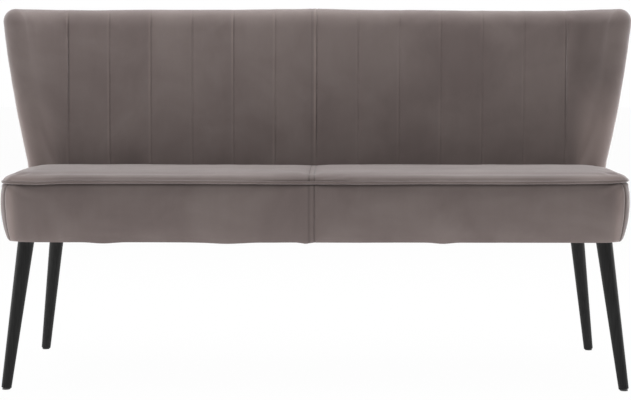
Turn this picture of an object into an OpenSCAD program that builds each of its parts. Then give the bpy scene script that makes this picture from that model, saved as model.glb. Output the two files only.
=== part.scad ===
// Dining sofa: a boxed, piped seat on four splayed legs, with a raked, channelled back whose
// two ends turn forward as wings. Front faces -Y, +X is to the right, +Z is up.
// The origin lies on the floor under the middle of the whole sofa.

/* [Seat] */
// Width of the seat frame over its side rails
seat_frame_w = 1384; // [1180:1:1700]
// Depth from the front rail's face to the front of the back at the seat line
seat_d = 465; // [420:1:540]
// Height of the rails' underside above the floor
underside_h = 344; // [290:1:400]
// Height of the seat rails
rail_h = 80; // [70:1:110]
// Thickness of the front and side rails
rail_t = 25; // [20:1:32]
// Thickness of the rear rail and of the plinth that stands on it
rear_rail_t = 40; // [36:1:46]
// Outer corner radius of the seat frame
frame_corner_r = 20; // [12:1:30]
// Thickness of the insulator felt over the springs
felt_t = 3; // [2:0.5:6]
// Thickness of the seat foam
seat_foam_t = 54.5; // [40:0.5:90]
// Clearance of the seat foam from the wings
foam_notch_gap = 25; // [10:1:40]

/* [Seat cover] */
// Thickness of the seat cover and its wadding at the edge
cover_edge_t = 3; // [2:0.5:6]
// Rise of the seat's crown above its edge
seat_crown = 8; // [4:0.5:16]
// Width over which the crown rounds off at the edges
crown_roll = 42; // [25:1:70]
// How far the crown falls again where it meets the back
rear_fall = 8; // [0:0.5:8]
// How far the seat cover laps over the middle of the piping
cover_lap = 0; // [0:0.5:4]
// Depth of the sewn seam across the middle of the seat
seat_seam_dip = 1.5; // [0:0.5:1.5]
// Radius of the piping
piping_r = 4.5; // [3:0.5:7]

/* [Seat border] */
// Thickness of the padded border at its lower edge
border_low_t = 2; // [2:0.5:8]
// Thickness of the padded border at its upper edge
border_top_t = 13; // [10:0.5:20]
// Extra swell of the border at mid height
border_bulge = 10; // [2:0.5:16]
// How far the border reaches below the rails
border_drop = 4; // [2:0.5:8]

/* [Back] */
// Rake of the back from upright, in degrees
back_rake = 14.5; // [8:0.5:18]
// Height from the seat line to the base of the crest roll
back_rise = 360; // [300:1:460]
// Thickness of the back, measured level
back_t = 70; // [64:1:84]
// Height of the rolled crest
crest_h = 37; // [28:1:45]
// Sewn channels on each half of the back
channels_per_half = 6; // [4:1:8]
// How far each channel crowns above its seams
channel_crown = 4; // [3:0.5:10]
// How much wider each half of the channelled field is at the crest
field_spread = 12.5; // [0:0.5:30]
// Thickness of the padded back cover
back_cover_t = 12; // [8:1:14]
// Thickness of the back foam
back_foam_t = 26; // [18:1:30]
// Thickness of the webbing
webbing_t = 2; // [1:0.5:3]
// Thickness of the back's frame boards
board_t = 20; // [16:1:22]
// Thickness of the liner board behind the frame
liner_t = 3; // [2:0.5:4]

/* [Wings] */
// How far each wing reaches past the seat frame at the seat line
wing_overhang = 41; // [25:1:50]
// How far each wing turns forward, in degrees
wing_turn = 50; // [35:1:60]
// Turning radius of the wings at the seat line
wing_r_low = 54.5; // [28:0.5:60]
// Turning radius of the wings at the crest
wing_r_high = 130; // [90:1:160]
// Outward bow of the wings between the seat line and the crest
wing_bow = 6; // [0:0.5:14]

/* [Legs] */
// Radius of a leg at its top
leg_top_r = 18.5; // [14:0.5:22]
// Radius of a leg at its foot
leg_foot_r = 11.5; // [9:0.5:14]
// Distance from the side of the frame to a leg's middle, at its top
leg_inset_side = 33; // [32:1:50]
// Distance from the front of the frame to a front leg's middle, at its top
leg_inset_front = 47; // [44:1:60]
// Distance from the rear of the frame to a rear leg's middle, at its top
leg_inset_rear = 49; // [46:1:60]
// How far each leg spreads sideways
leg_spread_side = 46; // [0:1:60]
// How far the front legs spread forward
leg_spread_front = 32; // [0:1:60]
// How far the rear legs spread backward
leg_spread_rear = 45; // [0:1:60]
// Height of the rounded edge at a leg's foot
leg_edge = 1.5; // [0.5:0.5:3]
// Thinnest part of a glide
glide_t = 1; // [0.5:0.5:3]
// Radius of a glide
glide_r = 9; // [7:0.5:9]
// Side of a square leg plate
plate_w = 60; // [54:1:62]
// Thickness of a leg plate
plate_t = 3; // [2:0.5:4]
// Distance from a plate's middle to its screws, along each side
plate_screw_at = 19; // [17:1:20]
// Side of a leg block
block_w = 75; // [70:1:90]
// Height of the leg blocks and the cross rails
block_h = 60; // [50:1:66]

/* [Springs] */
// Zigzag springs under the seat
spring_count = 12; // [8:1:14]
// Width of a zigzag spring
spring_w = 50; // [40:1:60]
// Spring wire thickness
wire_t = 3.6; // [3:0.1:4.5]
// Crossbars on each spring
spring_bars = 15; // [11:2:19]
// Gap between the springs and the felt
spring_gap = 2.4; // [1:0.1:6]
// Width of a spring clip
clip_w = 18; // [12:1:24]
// How far a spring clip reaches from its rail
clip_reach = 11; // [9:1:16]
// Distance from the rail to the first crossbar's middle
bar_at = 6; // [5:0.5:8]

/* [Dust cover and webbing] */
// Thickness of the dust cover
dust_t = 1.5; // [0.5:0.5:2]
// Distance from the frame's edge to the dust cover's edge
dust_inset = 7; // [3:1:15]
// Clearance round the leg plates
plate_gap = 1; // [0.5:0.5:3]
// Width of a webbing strap
strap_w = 50; // [30:1:70]
// Webbing straps on the back
strap_count = 8; // [4:2:10]

/* [Back frame] */
// Height of the lower back rail
lower_rail_h = 45; // [35:1:70]
// Height of the top back rail
top_rail_h = 60; // [40:1:80]
// Width of a back post
post_w = 50; // [35:1:70]
// Width of a cross rail
cross_rail_w = 25; // [20:1:40]

/* [Fasteners] */
// Radius of the hanger bolts and the back bolts
bolt_r = 4; // [3:0.5:5]
// How deep a hanger bolt goes into its leg
bolt_in_leg = 40; // [25:1:60]
// How far a hanger bolt reaches into its block
bolt_in_block = 24; // [15:1:40]
// Radius of a counterbore for a back bolt's head or nut
pocket_r = 10; // [9:0.5:12]
// Depth of such a counterbore
pocket_d = 10; // [9:0.5:14]
// Thickness of a washer
washer_t = 1.6; // [1:0.2:2]
// Radius of a washer
washer_r = 8.5; // [7:0.5:9]
// Height of a bolt head
head_h = 5.5; // [4:0.5:6]
// Height of a nut
nut_h = 6.5; // [5:0.5:7]
// Distance over the flats of a bolt head or nut
across_flats = 13; // [11:0.5:14]
// Radius of a plate screw
screw_r = 2; // [1.5:0.25:2.5]
// Length of a plate screw
screw_l = 22; // [16:1:30]
// Radius of a plate screw's head
screw_head_r = 3.8; // [3:0.2:4.5]
// Height of a plate screw's head
screw_head_h = 2; // [1.5:0.5:3]
// Radius of a frame screw
frame_screw_r = 2.5; // [2:0.5:3]
// How far a frame screw is sunk below its rail's face
frame_screw_sink = 4; // [3:0.5:8]
// Length of a frame screw past its rail
frame_screw_grip = 40; // [25:1:60]

/* [Hidden] */

round_sides = 48;
// Clearance of the seat cover from the back, and the overrun of all cuts
soft_gap = 0.3;
overrun = 2;

velvet = "rosybrown";
timber = "burlywood";
foam_shade = "lightyellow";
steel = "silver";
black = "dimgray";

// Levels
rail_top = underside_h + rail_h;
felt_top = rail_top + felt_t;
seat_line = felt_top + seat_foam_t;
crest_base = seat_line + back_rise;
block_top = underside_h + block_h;
border_low = underside_h - border_drop;
border_top = seat_line - 2 * piping_r;
piping_z = seat_line - piping_r;
spring_top = rail_top - spring_gap;

// Plan of the seat frame
frame_half = seat_frame_w / 2;
frame_d = seat_d + back_t - border_top_t;
border_out = (border_low_t + border_top_t) / 2 + border_bulge;
crest_lean = crest_h * tan(back_rake);
crest_out = norm([back_t / 2, crest_lean]);
crest_mid = seat_d + back_rise * tan(back_rake) + back_t / 2;
total_d = border_out + crest_mid + crest_out;
frame_front = border_out - total_d / 2;
frame_rear = frame_front + frame_d;
rear_rail_front = frame_rear - rear_rail_t;
front_rail_back = frame_front + rail_t;
side_rail_in = frame_half - rail_t;
seat_edge_x = frame_half + border_top_t + cover_lap;
seat_edge_y = frame_front - border_top_t - cover_lap;
seat_edge_r = frame_corner_r + border_top_t + cover_lap;

// The back is a bent board: a flat field, then an arc of wing_turn at each end
back_face_y = frame_front + seat_d;
nose_r = back_t / 2;
wing_sin = sin(wing_turn);
field_half = frame_half + wing_overhang - wing_r_low * wing_sin - nose_r * (1 + wing_sin);
foam_d0 = back_cover_t;
foam_d1 = foam_d0 + back_foam_t;
board_d0 = foam_d1 + webbing_t;
board_d1 = board_d0 + board_t;
liner_d1 = board_d1 + liner_t;

// Rows of the back between the seat line and the crest, and the wing's radius at each row
row_shares = [0, 0.25, 0.5, 0.75, 1];
foot_share = (felt_top - seat_line) / back_rise;
function wing_r_at(share) = wing_r_low + (wing_r_high - wing_r_low) * share
    + wing_bow * 4 * share * (1 - share) * (share > 0 ? 1 : 0);
wing_r_rows = [for (share = concat([foot_share], row_shares)) [share, wing_r_at(share)]];
function rise(z) = (z - seat_line) / back_rise;
function level(share) = seat_line + share * back_rise;
function wing_radius(z) = lookup(rise(z), wing_r_rows);
back_levels = [for (share = row_shares) level(share)];

// A station is [share of the field, angle round the wing, offset along X];
// depth is measured level, backwards from the seams of the back cover
function normal(s) = [sin(s[1]), cos(s[1]), 0];
function tangent(s) = [cos(s[1]), -sin(s[1]), 0];
function back_point(s, z, depth) =
    let (r = wing_radius(z))
    [s[0] * (field_half + field_spread * rise(z)) + r * sin(s[1]) + s[2],
     back_face_y + (z - seat_line) * tan(back_rake) - r * (1 - cos(s[1])), z]
    + depth * normal(s);
arc_steps = 5;
arc_stations = [for (k = [1:arc_steps]) [1, wing_turn * k / arc_steps, 0]];
left_arc_stations = [for (k = [arc_steps:-1:1]) [-1, -wing_turn * k / arc_steps, 0]];
tip = arc_stations[arc_steps - 1];
half_stations = concat([[0, 0, 0], [1, 0, 0]], arc_stations);
whole_stations = concat(left_arc_stations, [[-1, 0, 0]], [[1, 0, 0]], arc_stations);
field_stations = [[-1, 0, 0], [1, 0, 0]];

// Mesh helpers
function joined(lists) = [for (l = lists) for (e = l) e];
function patch(a, b, c, d) = [for (t = [[a, b, c], [a, c, d]])
    if (t[0] != t[1] && t[1] != t[2] && t[0] != t[2]) t];
function grid_faces(cols, rows) = joined([for (j = [0:rows - 2]) for (i = [0:cols - 2])
    let (a = j * cols + i) patch(a, a + cols, a + cols + 1, a + 1)]);
function grid_rim(cols, rows) = concat(
    [for (j = [0:rows - 2]) j * cols],
    [for (i = [0:cols - 2]) (rows - 1) * cols + i],
    [for (j = [rows - 1:-1:1]) j * cols + cols - 1],
    [for (i = [cols - 1:-1:1]) i]);
function without_repeats(l) = [for (k = [0:len(l) - 1]) if (k == 0 || l[k] != l[k - 1]) l[k]];

// A closed solid between two sheets of points that share their faces and their rim
module thick_sheet(outer, inner, faces, rim) {
    count = len(outer);
    polyhedron(points = concat(outer, inner), faces = concat(
        faces,
        [for (f = faces) [f[0] + count, f[2] + count, f[1] + count]],
        joined([for (k = [0:len(rim) - 1])
            let (a = rim[k], b = rim[(k + 1) % len(rim)])
            [[b, a, a + count], [b, a + count, b + count]]])));
}

// A layer of the back between two depths, over some stations and levels
module back_layer(stations, levels, front_depth, rear_depth) {
    cols = len(stations);
    rows = len(levels);
    thick_sheet(
        [for (z = levels) for (s = stations) back_point(s, z, front_depth)],
        [for (z = levels) for (s = stations) back_point(s, z, rear_depth)],
        grid_faces(cols, rows), grid_rim(cols, rows));
}

module on_side(side) {
    mirror([side < 0 ? 1 : 0, 0, 0]) children();
}

// The half-round roll along the crest, round the corner and down the wing's edge.
// The path counts crest stations first, then corner steps, then levels of the edge.
roll_steps = 6;
corner_steps = 4;
function crest_rise(s) =
    let (low = level(row_shares[3]), a = back_point(s, low, nose_r),
         b = back_point(s, crest_base, nose_r))
    (b - a) / (crest_base - low);
function roll_section(centre, n, out, up, radius, height, angle, corner) =
    centre - cos(angle) * radius * n
    + sin(angle) * (cos(corner) * radius * out + sin(corner) * height * up);
function roll_point(path, step, stations, levels, inset) =
    let (cols = len(stations), last = cols - 1, angle = 180 * step / roll_steps,
         on_crest = path <= last, turning = path - last,
         s = on_crest ? stations[path] : stations[last],
         row = len(levels) - 1 - max(0, turning - corner_steps),
         z = on_crest ? crest_base : levels[row],
         corner = on_crest ? 90 : 90 * max(0, 1 - turning / corner_steps),
         lift = puff(s, level(1)) * pow(cos(angle / 2), lift_fall) * (inset > 0 ? 0 : 1))
    roll_section(back_point(s, z, nose_r), normal(s), tangent(s), crest_rise(s),
        nose_r - inset + lift, crest_h - inset + lift, angle, corner);

// How far the back cover stands out in front of its seams, and how fast that fades over the roll
lift_fall = 4;
wing_puff_share = 0.5;
puff_rise_share = 0.16;
function puff(s, z) =
    let (along = s[0] * channels_per_half, channel = along - floor(along),
         grown = min(1, max(0, rise(z) / puff_rise_share)))
    channel_crown * grown * (s[1] > 0
        ? wing_puff_share * sin(180 * s[1] / wing_turn)
        : sin(180 * channel));

channel_cuts = 4;
cover_stations = concat(
    [for (k = [0:channels_per_half * channel_cuts]) [k / channels_per_half / channel_cuts, 0, 0]],
    arc_stations);
cover_levels = concat([felt_top, seat_line],
    [for (share = [puff_rise_share / 2, puff_rise_share]) level(share)],
    [for (share = row_shares) if (share > 0) level(share)]);

module back_cover(side) {
    cols = len(cover_stations);
    rows = len(cover_levels);
    last = cols - 1;
    top = rows - 1;
    grid_count = cols * rows;
    corner_end = last + corner_steps;
    path_end = corner_end + top - 1;
    outer = sheet_points(0);
    inner = sheet_points(back_cover_t);
    faces = concat(grid_faces(cols, rows),
        joined([for (p = [0:path_end - 1]) for (q = [0:roll_steps - 1])
            patch(id(p, q), id(p, q + 1), id(p + 1, q + 1), id(p + 1, q))]));
    rim = without_repeats(concat(
        [for (j = [0:top]) j * cols],
        [for (q = [1:roll_steps]) id(0, q)],
        [for (p = [1:path_end]) id(p, roll_steps)],
        [for (q = [roll_steps - 1:-1:0]) id(path_end, q)],
        [for (i = [last:-1:1]) i]));
    function sheet_points(inset) = concat(
        [for (z = cover_levels) for (s = cover_stations)
            back_point(s, z, inset > 0 ? inset : -puff(s, z))],
        [for (p = [0:path_end]) for (q = [1:roll_steps])
            roll_point(p, q, cover_stations, cover_levels, inset)]);
    function face_id(p) = p <= last ? top * cols + p
        : p <= corner_end ? grid_count - 1
        : (top - (p - corner_end)) * cols + last;
    function id(p, q) = q == 0 ? face_id(p)
        : grid_count + (q == roll_steps && p > last && p <= corner_end ? last : p) * roll_steps
            + q - 1;
    color(velvet) on_side(side) thick_sheet(outer, inner, faces, rim);
}

// The foam half-round inside the crest and the wing's edge
module edge_roll(side) {
    last = len(half_stations) - 1;
    top = len(back_levels) - 1;
    corner_end = last + corner_steps;
    path_end = corner_end + top;
    ring = roll_steps + 1;
    points = [for (p = [0:path_end]) for (q = [0:roll_steps])
        roll_point(p, q, half_stations, back_levels, back_cover_t)];
    function id(p, q) =
        (p > last && p <= corner_end && (q == 0 || q == roll_steps) ? last : p) * ring + q;
    sides = joined([for (p = [0:path_end - 1]) for (q = [0:roll_steps])
        let (r = (q + 1) % ring) patch(id(p, q), id(p, r), id(p + 1, r), id(p + 1, q))]);
    color(foam_shade) on_side(side) polyhedron(points = points, faces = concat(
        sides, [[for (q = [roll_steps:-1:0]) id(0, q)]], [[for (q = [0:roll_steps]) id(path_end, q)]]));
}

// Seat cover: columns run from the front edge to the back, and the last ones round the wing
field_cuts = 4;
nose_cuts = 4;
depth_shares = [0, 0.012, 0.035, 0.09, 0.25, 0.5, 0.75, 0.92, 1];
tuck_share = 0.75;
pad_stations = concat([for (k = [0:field_cuts]) [k / field_cuts, 0, 0]], arc_stations);
function nose_end(z) =
    let (m = back_point(tip, z, nose_r))
    wing_turn + asin((seat_edge_x - m[0]) / (nose_r + soft_gap));
function pad_rear(c, z) = c < len(pad_stations)
    ? back_point(pad_stations[c], z, -soft_gap)
    : let (angle = nose_end(z) * (c - len(pad_stations) + 1) / nose_cuts)
        back_point(tip, z, nose_r)
        + (nose_r + soft_gap) * (sin(angle) * tangent(tip) - cos(angle) * normal(tip));
function pad_front(c) = c < len(pad_stations)
    ? [pad_rear(c, seat_line)[0], seat_edge_y, 0]
    : let (angle = 90 * (c - len(pad_stations) + 1) / nose_cuts)
        [seat_edge_x + seat_edge_r * (sin(angle) - 1), seat_edge_y + seat_edge_r * (1 - cos(angle)), 0];
function edge_distance(p) =
    let (qx = max(p[0] - (seat_edge_x - seat_edge_r), 0), qy = max(seat_edge_y + seat_edge_r - p[1], 0))
    qx + qy > 0 ? seat_edge_r - norm([qx, qy]) : min(seat_edge_x - p[0], p[1] - seat_edge_y);
function crown_level(p, share, c) =
    let (e = min(1, max(0, edge_distance(p)) / crown_roll),
         tuck = max(0, share - tuck_share) / (1 - tuck_share))
    seat_line + cover_edge_t + seat_crown * sqrt(1 - (1 - e) * (1 - e))
    - min(rear_fall, seat_crown) * tuck * tuck - (c == 0 ? seat_seam_dip : 0);
function pad_point(c, share, z) =
    let (f = pad_front(c), r = pad_rear(c, z))
    [f[0] + (r[0] - f[0]) * share, f[1] + (r[1] - f[1]) * share, z];

module seat_cover(side) {
    cols = len(pad_stations) + nose_cuts;
    rows = len(depth_shares);
    top = [for (share = depth_shares) for (c = [0:cols - 1])
        pad_point(c, share, crown_level(pad_point(c, share, seat_line), share, c))];
    low = [for (share = depth_shares) for (c = [0:cols - 1]) pad_point(c, share, seat_line)];
    color(velvet) on_side(side) thick_sheet(top, low, grid_faces(cols, rows), grid_rim(cols, rows));
}

// Seat border: a padded skin that follows the frame's outline.
// An outline point is [x, y, direction it faces in degrees].
border_shares = [0, 0.07, 0.22, 0.45, 0.7, 0.9, 1];
corner_cuts = 3;
function corner_points(x, y, from, to) = [for (k = [0:corner_cuts])
    let (angle = from + (to - from) * k / corner_cuts)
    [x + frame_corner_r * cos(angle), y + frame_corner_r * sin(angle), angle]];
corner_x = frame_half - frame_corner_r;
front_corner_y = frame_front + frame_corner_r;
rear_corner_y = frame_rear - frame_corner_r;
front_outline = concat([for (k = [0:field_cuts - 1]) [corner_x * k / field_cuts, frame_front, -90]],
    corner_points(corner_x, front_corner_y, -90, -45));
side_outline = concat(corner_points(corner_x, front_corner_y, -45, 0),
    corner_points(corner_x, rear_corner_y, 0, 45));
rear_outline = concat(corner_points(corner_x, rear_corner_y, 45, 90),
    corner_points(-corner_x, rear_corner_y, 90, 135));
bulge_power_share = 0.7;
function border_thickness(share) = border_low_t + (border_top_t - border_low_t) * share
    + border_bulge * pow(sin(180 * share), bulge_power_share);
function border_point(o, share, thickness) =
    [o[0] + thickness * cos(o[2]), o[1] + thickness * sin(o[2]),
     border_low + (border_top - border_low) * share];

module border(side, outline) {
    cols = len(outline);
    rows = len(border_shares);
    color(velvet) on_side(side) thick_sheet(
        [for (share = border_shares) for (o = outline) border_point(o, share, border_thickness(share))],
        [for (share = border_shares) for (o = outline) border_point(o, share, 0)],
        grid_faces(cols, rows), grid_rim(cols, rows));
}

module seat_piping() {
    bend_r = frame_corner_r + border_top_t;
    run_y = rear_corner_y - front_corner_y;
    color(velvet) translate([0, 0, piping_z]) {
        for (side = [-1, 1]) {
            translate([side * (corner_x + bend_r), front_corner_y, 0]) rotate([-90, 0, 0])
                cylinder(h = run_y, r = piping_r, $fn = round_sides);
        }
        for (y = [front_corner_y - bend_r, rear_corner_y + bend_r])
            translate([-corner_x, y, 0]) rotate([0, 90, 0])
                cylinder(h = 2 * corner_x, r = piping_r, $fn = round_sides);
        for (turn = [[1, 0], [-1, 90]])
            translate([turn[0] * corner_x, rear_corner_y, 0]) rotate([0, 0, turn[1]])
                piping_bend(bend_r);
        for (turn = [[-1, 180], [1, 270]])
            translate([turn[0] * corner_x, front_corner_y, 0]) rotate([0, 0, turn[1]])
                piping_bend(bend_r);
    }
}

module piping_bend(bend_r) {
    rotate_extrude(angle = 90, $fn = round_sides)
        translate([bend_r, 0]) circle(r = piping_r, $fn = round_sides);
}

// Seat frame
module frame_plan() {
    translate([-corner_x, frame_front]) square([2 * corner_x, frame_d]);
    translate([-frame_half, front_corner_y]) square([seat_frame_w, rear_corner_y - front_corner_y]);
    for (x = [-corner_x, corner_x]) for (y = [front_corner_y, rear_corner_y])
        translate([x, y]) circle(r = frame_corner_r, $fn = round_sides);
}

module frame_strip(low_y, high_y, low_z, height) {
    translate([0, 0, low_z]) linear_extrude(height) intersection() {
        frame_plan();
        translate([-frame_half, low_y]) square([seat_frame_w, high_y - low_y]);
    }
}

bolt_shares = [-0.76, -0.38, 0, 0.38, 0.76];
bolt_y = frame_rear - rear_rail_t / 2;

module at_back_bolts(z) {
    for (share = bolt_shares) translate([share * frame_half, bolt_y, z]) children();
}

frame_screw_shares = [0.5, 0.75];
module at_frame_screws() {
    for (x = [-1, 1]) for (share = frame_screw_shares)
        translate([x * (frame_half - rail_t / 2), 0, underside_h + rail_h * share])
            rotate([-90, 0, 0]) children();
}

// Frame screws run along Y, sunk below the rails' faces by sink
module frame_screw_shanks(sink) {
    front = frame_front + sink;
    rear = frame_rear - sink;
    at_frame_screws() {
        translate([0, 0, front])
            cylinder(h = front_rail_back + frame_screw_grip - front, r = frame_screw_r, $fn = round_sides);
        translate([0, 0, rear_rail_front - frame_screw_grip])
            cylinder(h = rear - rear_rail_front + frame_screw_grip, r = frame_screw_r, $fn = round_sides);
    }
}

module seat_front_rail() {
    color(timber) difference() {
        frame_strip(frame_front, front_rail_back, underside_h, rail_h);
        frame_screw_shanks(-overrun);
    }
}

module seat_rear_rail() {
    color(timber) difference() {
        frame_strip(rear_rail_front, frame_rear, underside_h, rail_h);
        at_back_bolts(underside_h - overrun)
            cylinder(h = rail_h + 2 * overrun, r = bolt_r, $fn = round_sides);
        at_back_bolts(underside_h - overrun)
            cylinder(h = pocket_d + overrun, r = pocket_r, $fn = round_sides);
        frame_screw_shanks(-overrun);
        plate_screw_shanks();
    }
}

module seat_side_rail(side) {
    color(timber) difference() {
        translate([side > 0 ? side_rail_in : -frame_half, front_rail_back, underside_h])
            cube([rail_t, rear_rail_front - front_rail_back, rail_h]);
        frame_screw_shanks(-overrun);
        plate_screw_shanks();
    }
}

cross_shares = [-0.33, 0.33];
module seat_cross_rails() {
    color(timber) for (share = cross_shares)
        translate([share * frame_half - cross_rail_w / 2, front_rail_back, underside_h])
            cube([cross_rail_w, rear_rail_front - front_rail_back, block_h]);
}

// Legs. All is worked out for the left side and mirrored to the right; rear is 0 or 1.
function leg_top(rear) = [leg_inset_side - frame_half,
    rear > 0 ? frame_rear - leg_inset_rear : frame_front + leg_inset_front, underside_h];
function leg_foot(rear) = leg_top(rear)
    + [-leg_spread_side, rear > 0 ? leg_spread_rear : -leg_spread_front, -underside_h];
function leg_axis(rear) = leg_top(rear) - leg_foot(rear);
function leg_tilt(rear) = let (a = leg_axis(rear)) atan2(norm([a[0], a[1]]), a[2]);
function leg_start(rear) =
    let (t = leg_tilt(rear)) (leg_foot_r * sin(t) + glide_t) / cos(t);
function leg_end(rear) =
    let (t = leg_tilt(rear)) (underside_h - plate_t - leg_top_r * sin(t)) / cos(t);

module from_left(side) {
    mirror([side > 0 ? 1 : 0, 0, 0]) children();
}

module at_all_legs() {
    for (side = [-1, 1]) from_left(side) for (rear = [0, 1]) {
        $rear = rear;
        children();
    }
}

// Stands children on the leg's own axis, with their base on the floor
module along_leg(rear) {
    a = leg_axis(rear);
    turn = atan2(a[1], a[0]);
    translate(leg_foot(rear)) rotate([0, leg_tilt(rear), turn]) rotate([0, 0, -turn]) children();
}

module hanger_bolt(rear) {
    along_leg(rear) translate([0, 0, leg_end(rear) - bolt_in_leg])
        cylinder(h = bolt_in_leg + plate_t + bolt_in_block, r = bolt_r, $fn = round_sides);
}

module leg(side, rear) {
    start = leg_start(rear);
    length = leg_end(rear) - start;
    color(black) from_left(side) difference() {
        along_leg(rear) translate([0, 0, start]) rotate_extrude($fn = round_sides)
            polygon([[0, 0], [leg_foot_r - leg_edge, 0], [leg_foot_r, leg_edge],
                [leg_top_r, length], [0, length]]);
        hanger_bolt(rear);
    }
}

module glide(side, rear) {
    color(black) from_left(side) difference() {
        along_leg(rear) translate([0, 0, -glide_r])
            cylinder(h = glide_r + leg_start(rear), r = glide_r, $fn = round_sides);
        translate(leg_foot(rear) - [plate_w / 2, plate_w / 2, plate_w]) cube(plate_w);
    }
}

module at_plate_screws(rear) {
    t = leg_top(rear);
    for (x = [-1, 1]) for (y = [-1, 1])
        translate([t[0] + x * plate_screw_at, t[1] + y * plate_screw_at, 0]) children();
}

module plate_screw_shank() {
    translate([0, 0, underside_h - plate_t])
        cylinder(h = screw_l, r = screw_r, $fn = round_sides);
}

module plate_screw_shanks() {
    at_all_legs() at_plate_screws($rear) plate_screw_shank();
}

// A square plate with a wedge-ended boss that turns its lower face square to the leg
module leg_plate(side, rear) {
    t = leg_top(rear);
    color(steel) from_left(side) difference() {
        union() {
            translate([t[0] - plate_w / 2, t[1] - plate_w / 2, underside_h - plate_t])
                cube([plate_w, plate_w, plate_t]);
            difference() {
                along_leg(rear) translate([0, 0, leg_end(rear)])
                    cylinder(h = leg_top_r, r = leg_top_r, $fn = round_sides);
                translate([t[0] - plate_w, t[1] - plate_w, underside_h - plate_t / 2])
                    cube(2 * plate_w);
            }
        }
        hanger_bolt(rear);
        at_plate_screws(rear) plate_screw_shank();
    }
}

module leg_block(side, rear) {
    color(timber) from_left(side) difference() {
        translate([-side_rail_in, rear > 0 ? rear_rail_front - block_w : front_rail_back, underside_h])
            cube([block_w, block_w, block_h]);
        hanger_bolt(rear);
        at_plate_screws(rear) plate_screw_shank();
    }
}

// Springs
spring_run = rear_rail_front - front_rail_back - 2 * bar_at;
bar_pitch = spring_run / (spring_bars - 1);
bar_half = spring_w / 2 - bar_pitch / 2;
spring_pitch = 2 * side_rail_in / spring_count;

module at_springs() {
    for (k = [0:spring_count - 1])
        translate([(k - (spring_count - 1) / 2) * spring_pitch, front_rail_back, 0]) children();
}

module zigzag() {
    for (k = [0:spring_bars - 1])
        translate([-bar_half, bar_at + k * bar_pitch - wire_t / 2]) square([2 * bar_half, wire_t]);
    for (k = [0:spring_bars - 2])
        translate([(k % 2 == 0 ? 1 : -1) * bar_half, bar_at + bar_pitch / 2 + k * bar_pitch])
            mirror([k % 2, 0]) intersection() {
                difference() {
                    circle(r = (bar_pitch + wire_t) / 2, $fn = round_sides);
                    circle(r = (bar_pitch - wire_t) / 2, $fn = round_sides);
                }
                translate([0, -bar_pitch]) square([bar_pitch, 2 * bar_pitch]);
            }
}

module seat_springs() {
    color(steel) at_springs() translate([0, 0, spring_top - wire_t])
        linear_extrude(wire_t) zigzag();
}

module spring_clips() {
    far_end = rear_rail_front - front_rail_back;
    color(steel) at_springs() for (y = [0, far_end - clip_reach]) difference() {
        translate([-clip_w / 2, y, spring_top - 2 * wire_t])
            cube([clip_w, clip_reach, 2 * wire_t + spring_gap]);
        translate([-clip_w, (y > 0 ? far_end - bar_at : bar_at) - wire_t / 2, spring_top - wire_t])
            cube([2 * clip_w, wire_t, wire_t]);
    }
}

module insulator_felt() {
    color("gray") frame_strip(frame_front, rear_rail_front, rail_top, felt_t);
}

// The foam's rear face leans with the back, and its rear corners stand clear of the wings
module seat_foam() {
    notch_x = back_point([1, 0, 0], felt_top, 0)[0] - foam_notch_gap;
    notch_y = back_point(tip, felt_top, 0)[1] - foam_notch_gap;
    deck = frame_rear - frame_front;
    color(foam_shade) difference() {
        frame_strip(frame_front, rear_rail_front, felt_top, seat_foam_t);
        translate([0, back_face_y - soft_gap, seat_line]) rotate([-back_rake, 0, 0])
            translate([-seat_frame_w, 0, -deck]) cube([2 * seat_frame_w, deck, 2 * deck]);
        for (side = [-1, 1])
            translate([side > 0 ? notch_x : -notch_x - deck, notch_y, felt_top - overrun])
                cube([deck, deck, seat_foam_t + 2 * overrun]);
    }
}

module dust_cover() {
    inset = dust_inset;
    hole = plate_w / 2 + plate_gap;
    color(black) difference() {
        translate([inset - frame_half, frame_front + inset, underside_h - dust_t])
            cube([seat_frame_w - 2 * inset, frame_d - 2 * inset, dust_t]);
        at_all_legs() translate(leg_top($rear) - [hole, hole, hole]) cube(2 * hole);
    }
}

// Back frame
module back_plinth() {
    color(timber) difference() {
        frame_strip(rear_rail_front, frame_rear, rail_top, seat_line - rail_top);
        at_back_bolts(rail_top - overrun)
            cylinder(h = seat_line - rail_top, r = bolt_r, $fn = round_sides);
        at_back_bolts(seat_line - pocket_d)
            cylinder(h = pocket_d + overrun, r = pocket_r, $fn = round_sides);
    }
}

module back_lower_rail() {
    color(timber) back_layer(field_stations, [seat_line, seat_line + lower_rail_h], board_d0, board_d1);
}

module back_top_rail() {
    color(timber) back_layer(field_stations, [crest_base - top_rail_h, crest_base], board_d0, board_d1);
}

post_shares = [-1, -0.5, 0, 0.5, 1];
module back_posts() {
    color(timber) for (share = post_shares) {
        middle = -share * post_w / 2 * (abs(share) == 1 ? 1 : 0);
        back_layer([[share, 0, middle - post_w / 2], [share, 0, middle + post_w / 2]],
            [seat_line + lower_rail_h, crest_base - top_rail_h], board_d0, board_d1);
    }
}

module wing_shell(side) {
    color(timber) on_side(side)
        back_layer(concat([[1, 0, 0]], arc_stations), back_levels, board_d0, board_d1);
}

strap_lap_share = 0.75;
module back_webbing() {
    color(black) for (k = [0:strap_count - 1]) {
        share = (2 * k + 1) / strap_count - 1;
        back_layer([[share, 0, -strap_w / 2], [share, 0, strap_w / 2]],
            [seat_line + lower_rail_h * (1 - strap_lap_share),
             crest_base - top_rail_h * (1 - strap_lap_share)], foam_d1, board_d0);
    }
}

module back_foam() {
    color(foam_shade) back_layer(whole_stations, back_levels, foam_d0, foam_d1);
}

module back_liner() {
    color("tan") back_layer(whole_stations, back_levels, board_d1, liner_d1);
}

module outer_cover(side) {
    color(velvet) on_side(side) back_layer(half_stations, back_levels, liner_d1, back_t);
}

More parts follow.
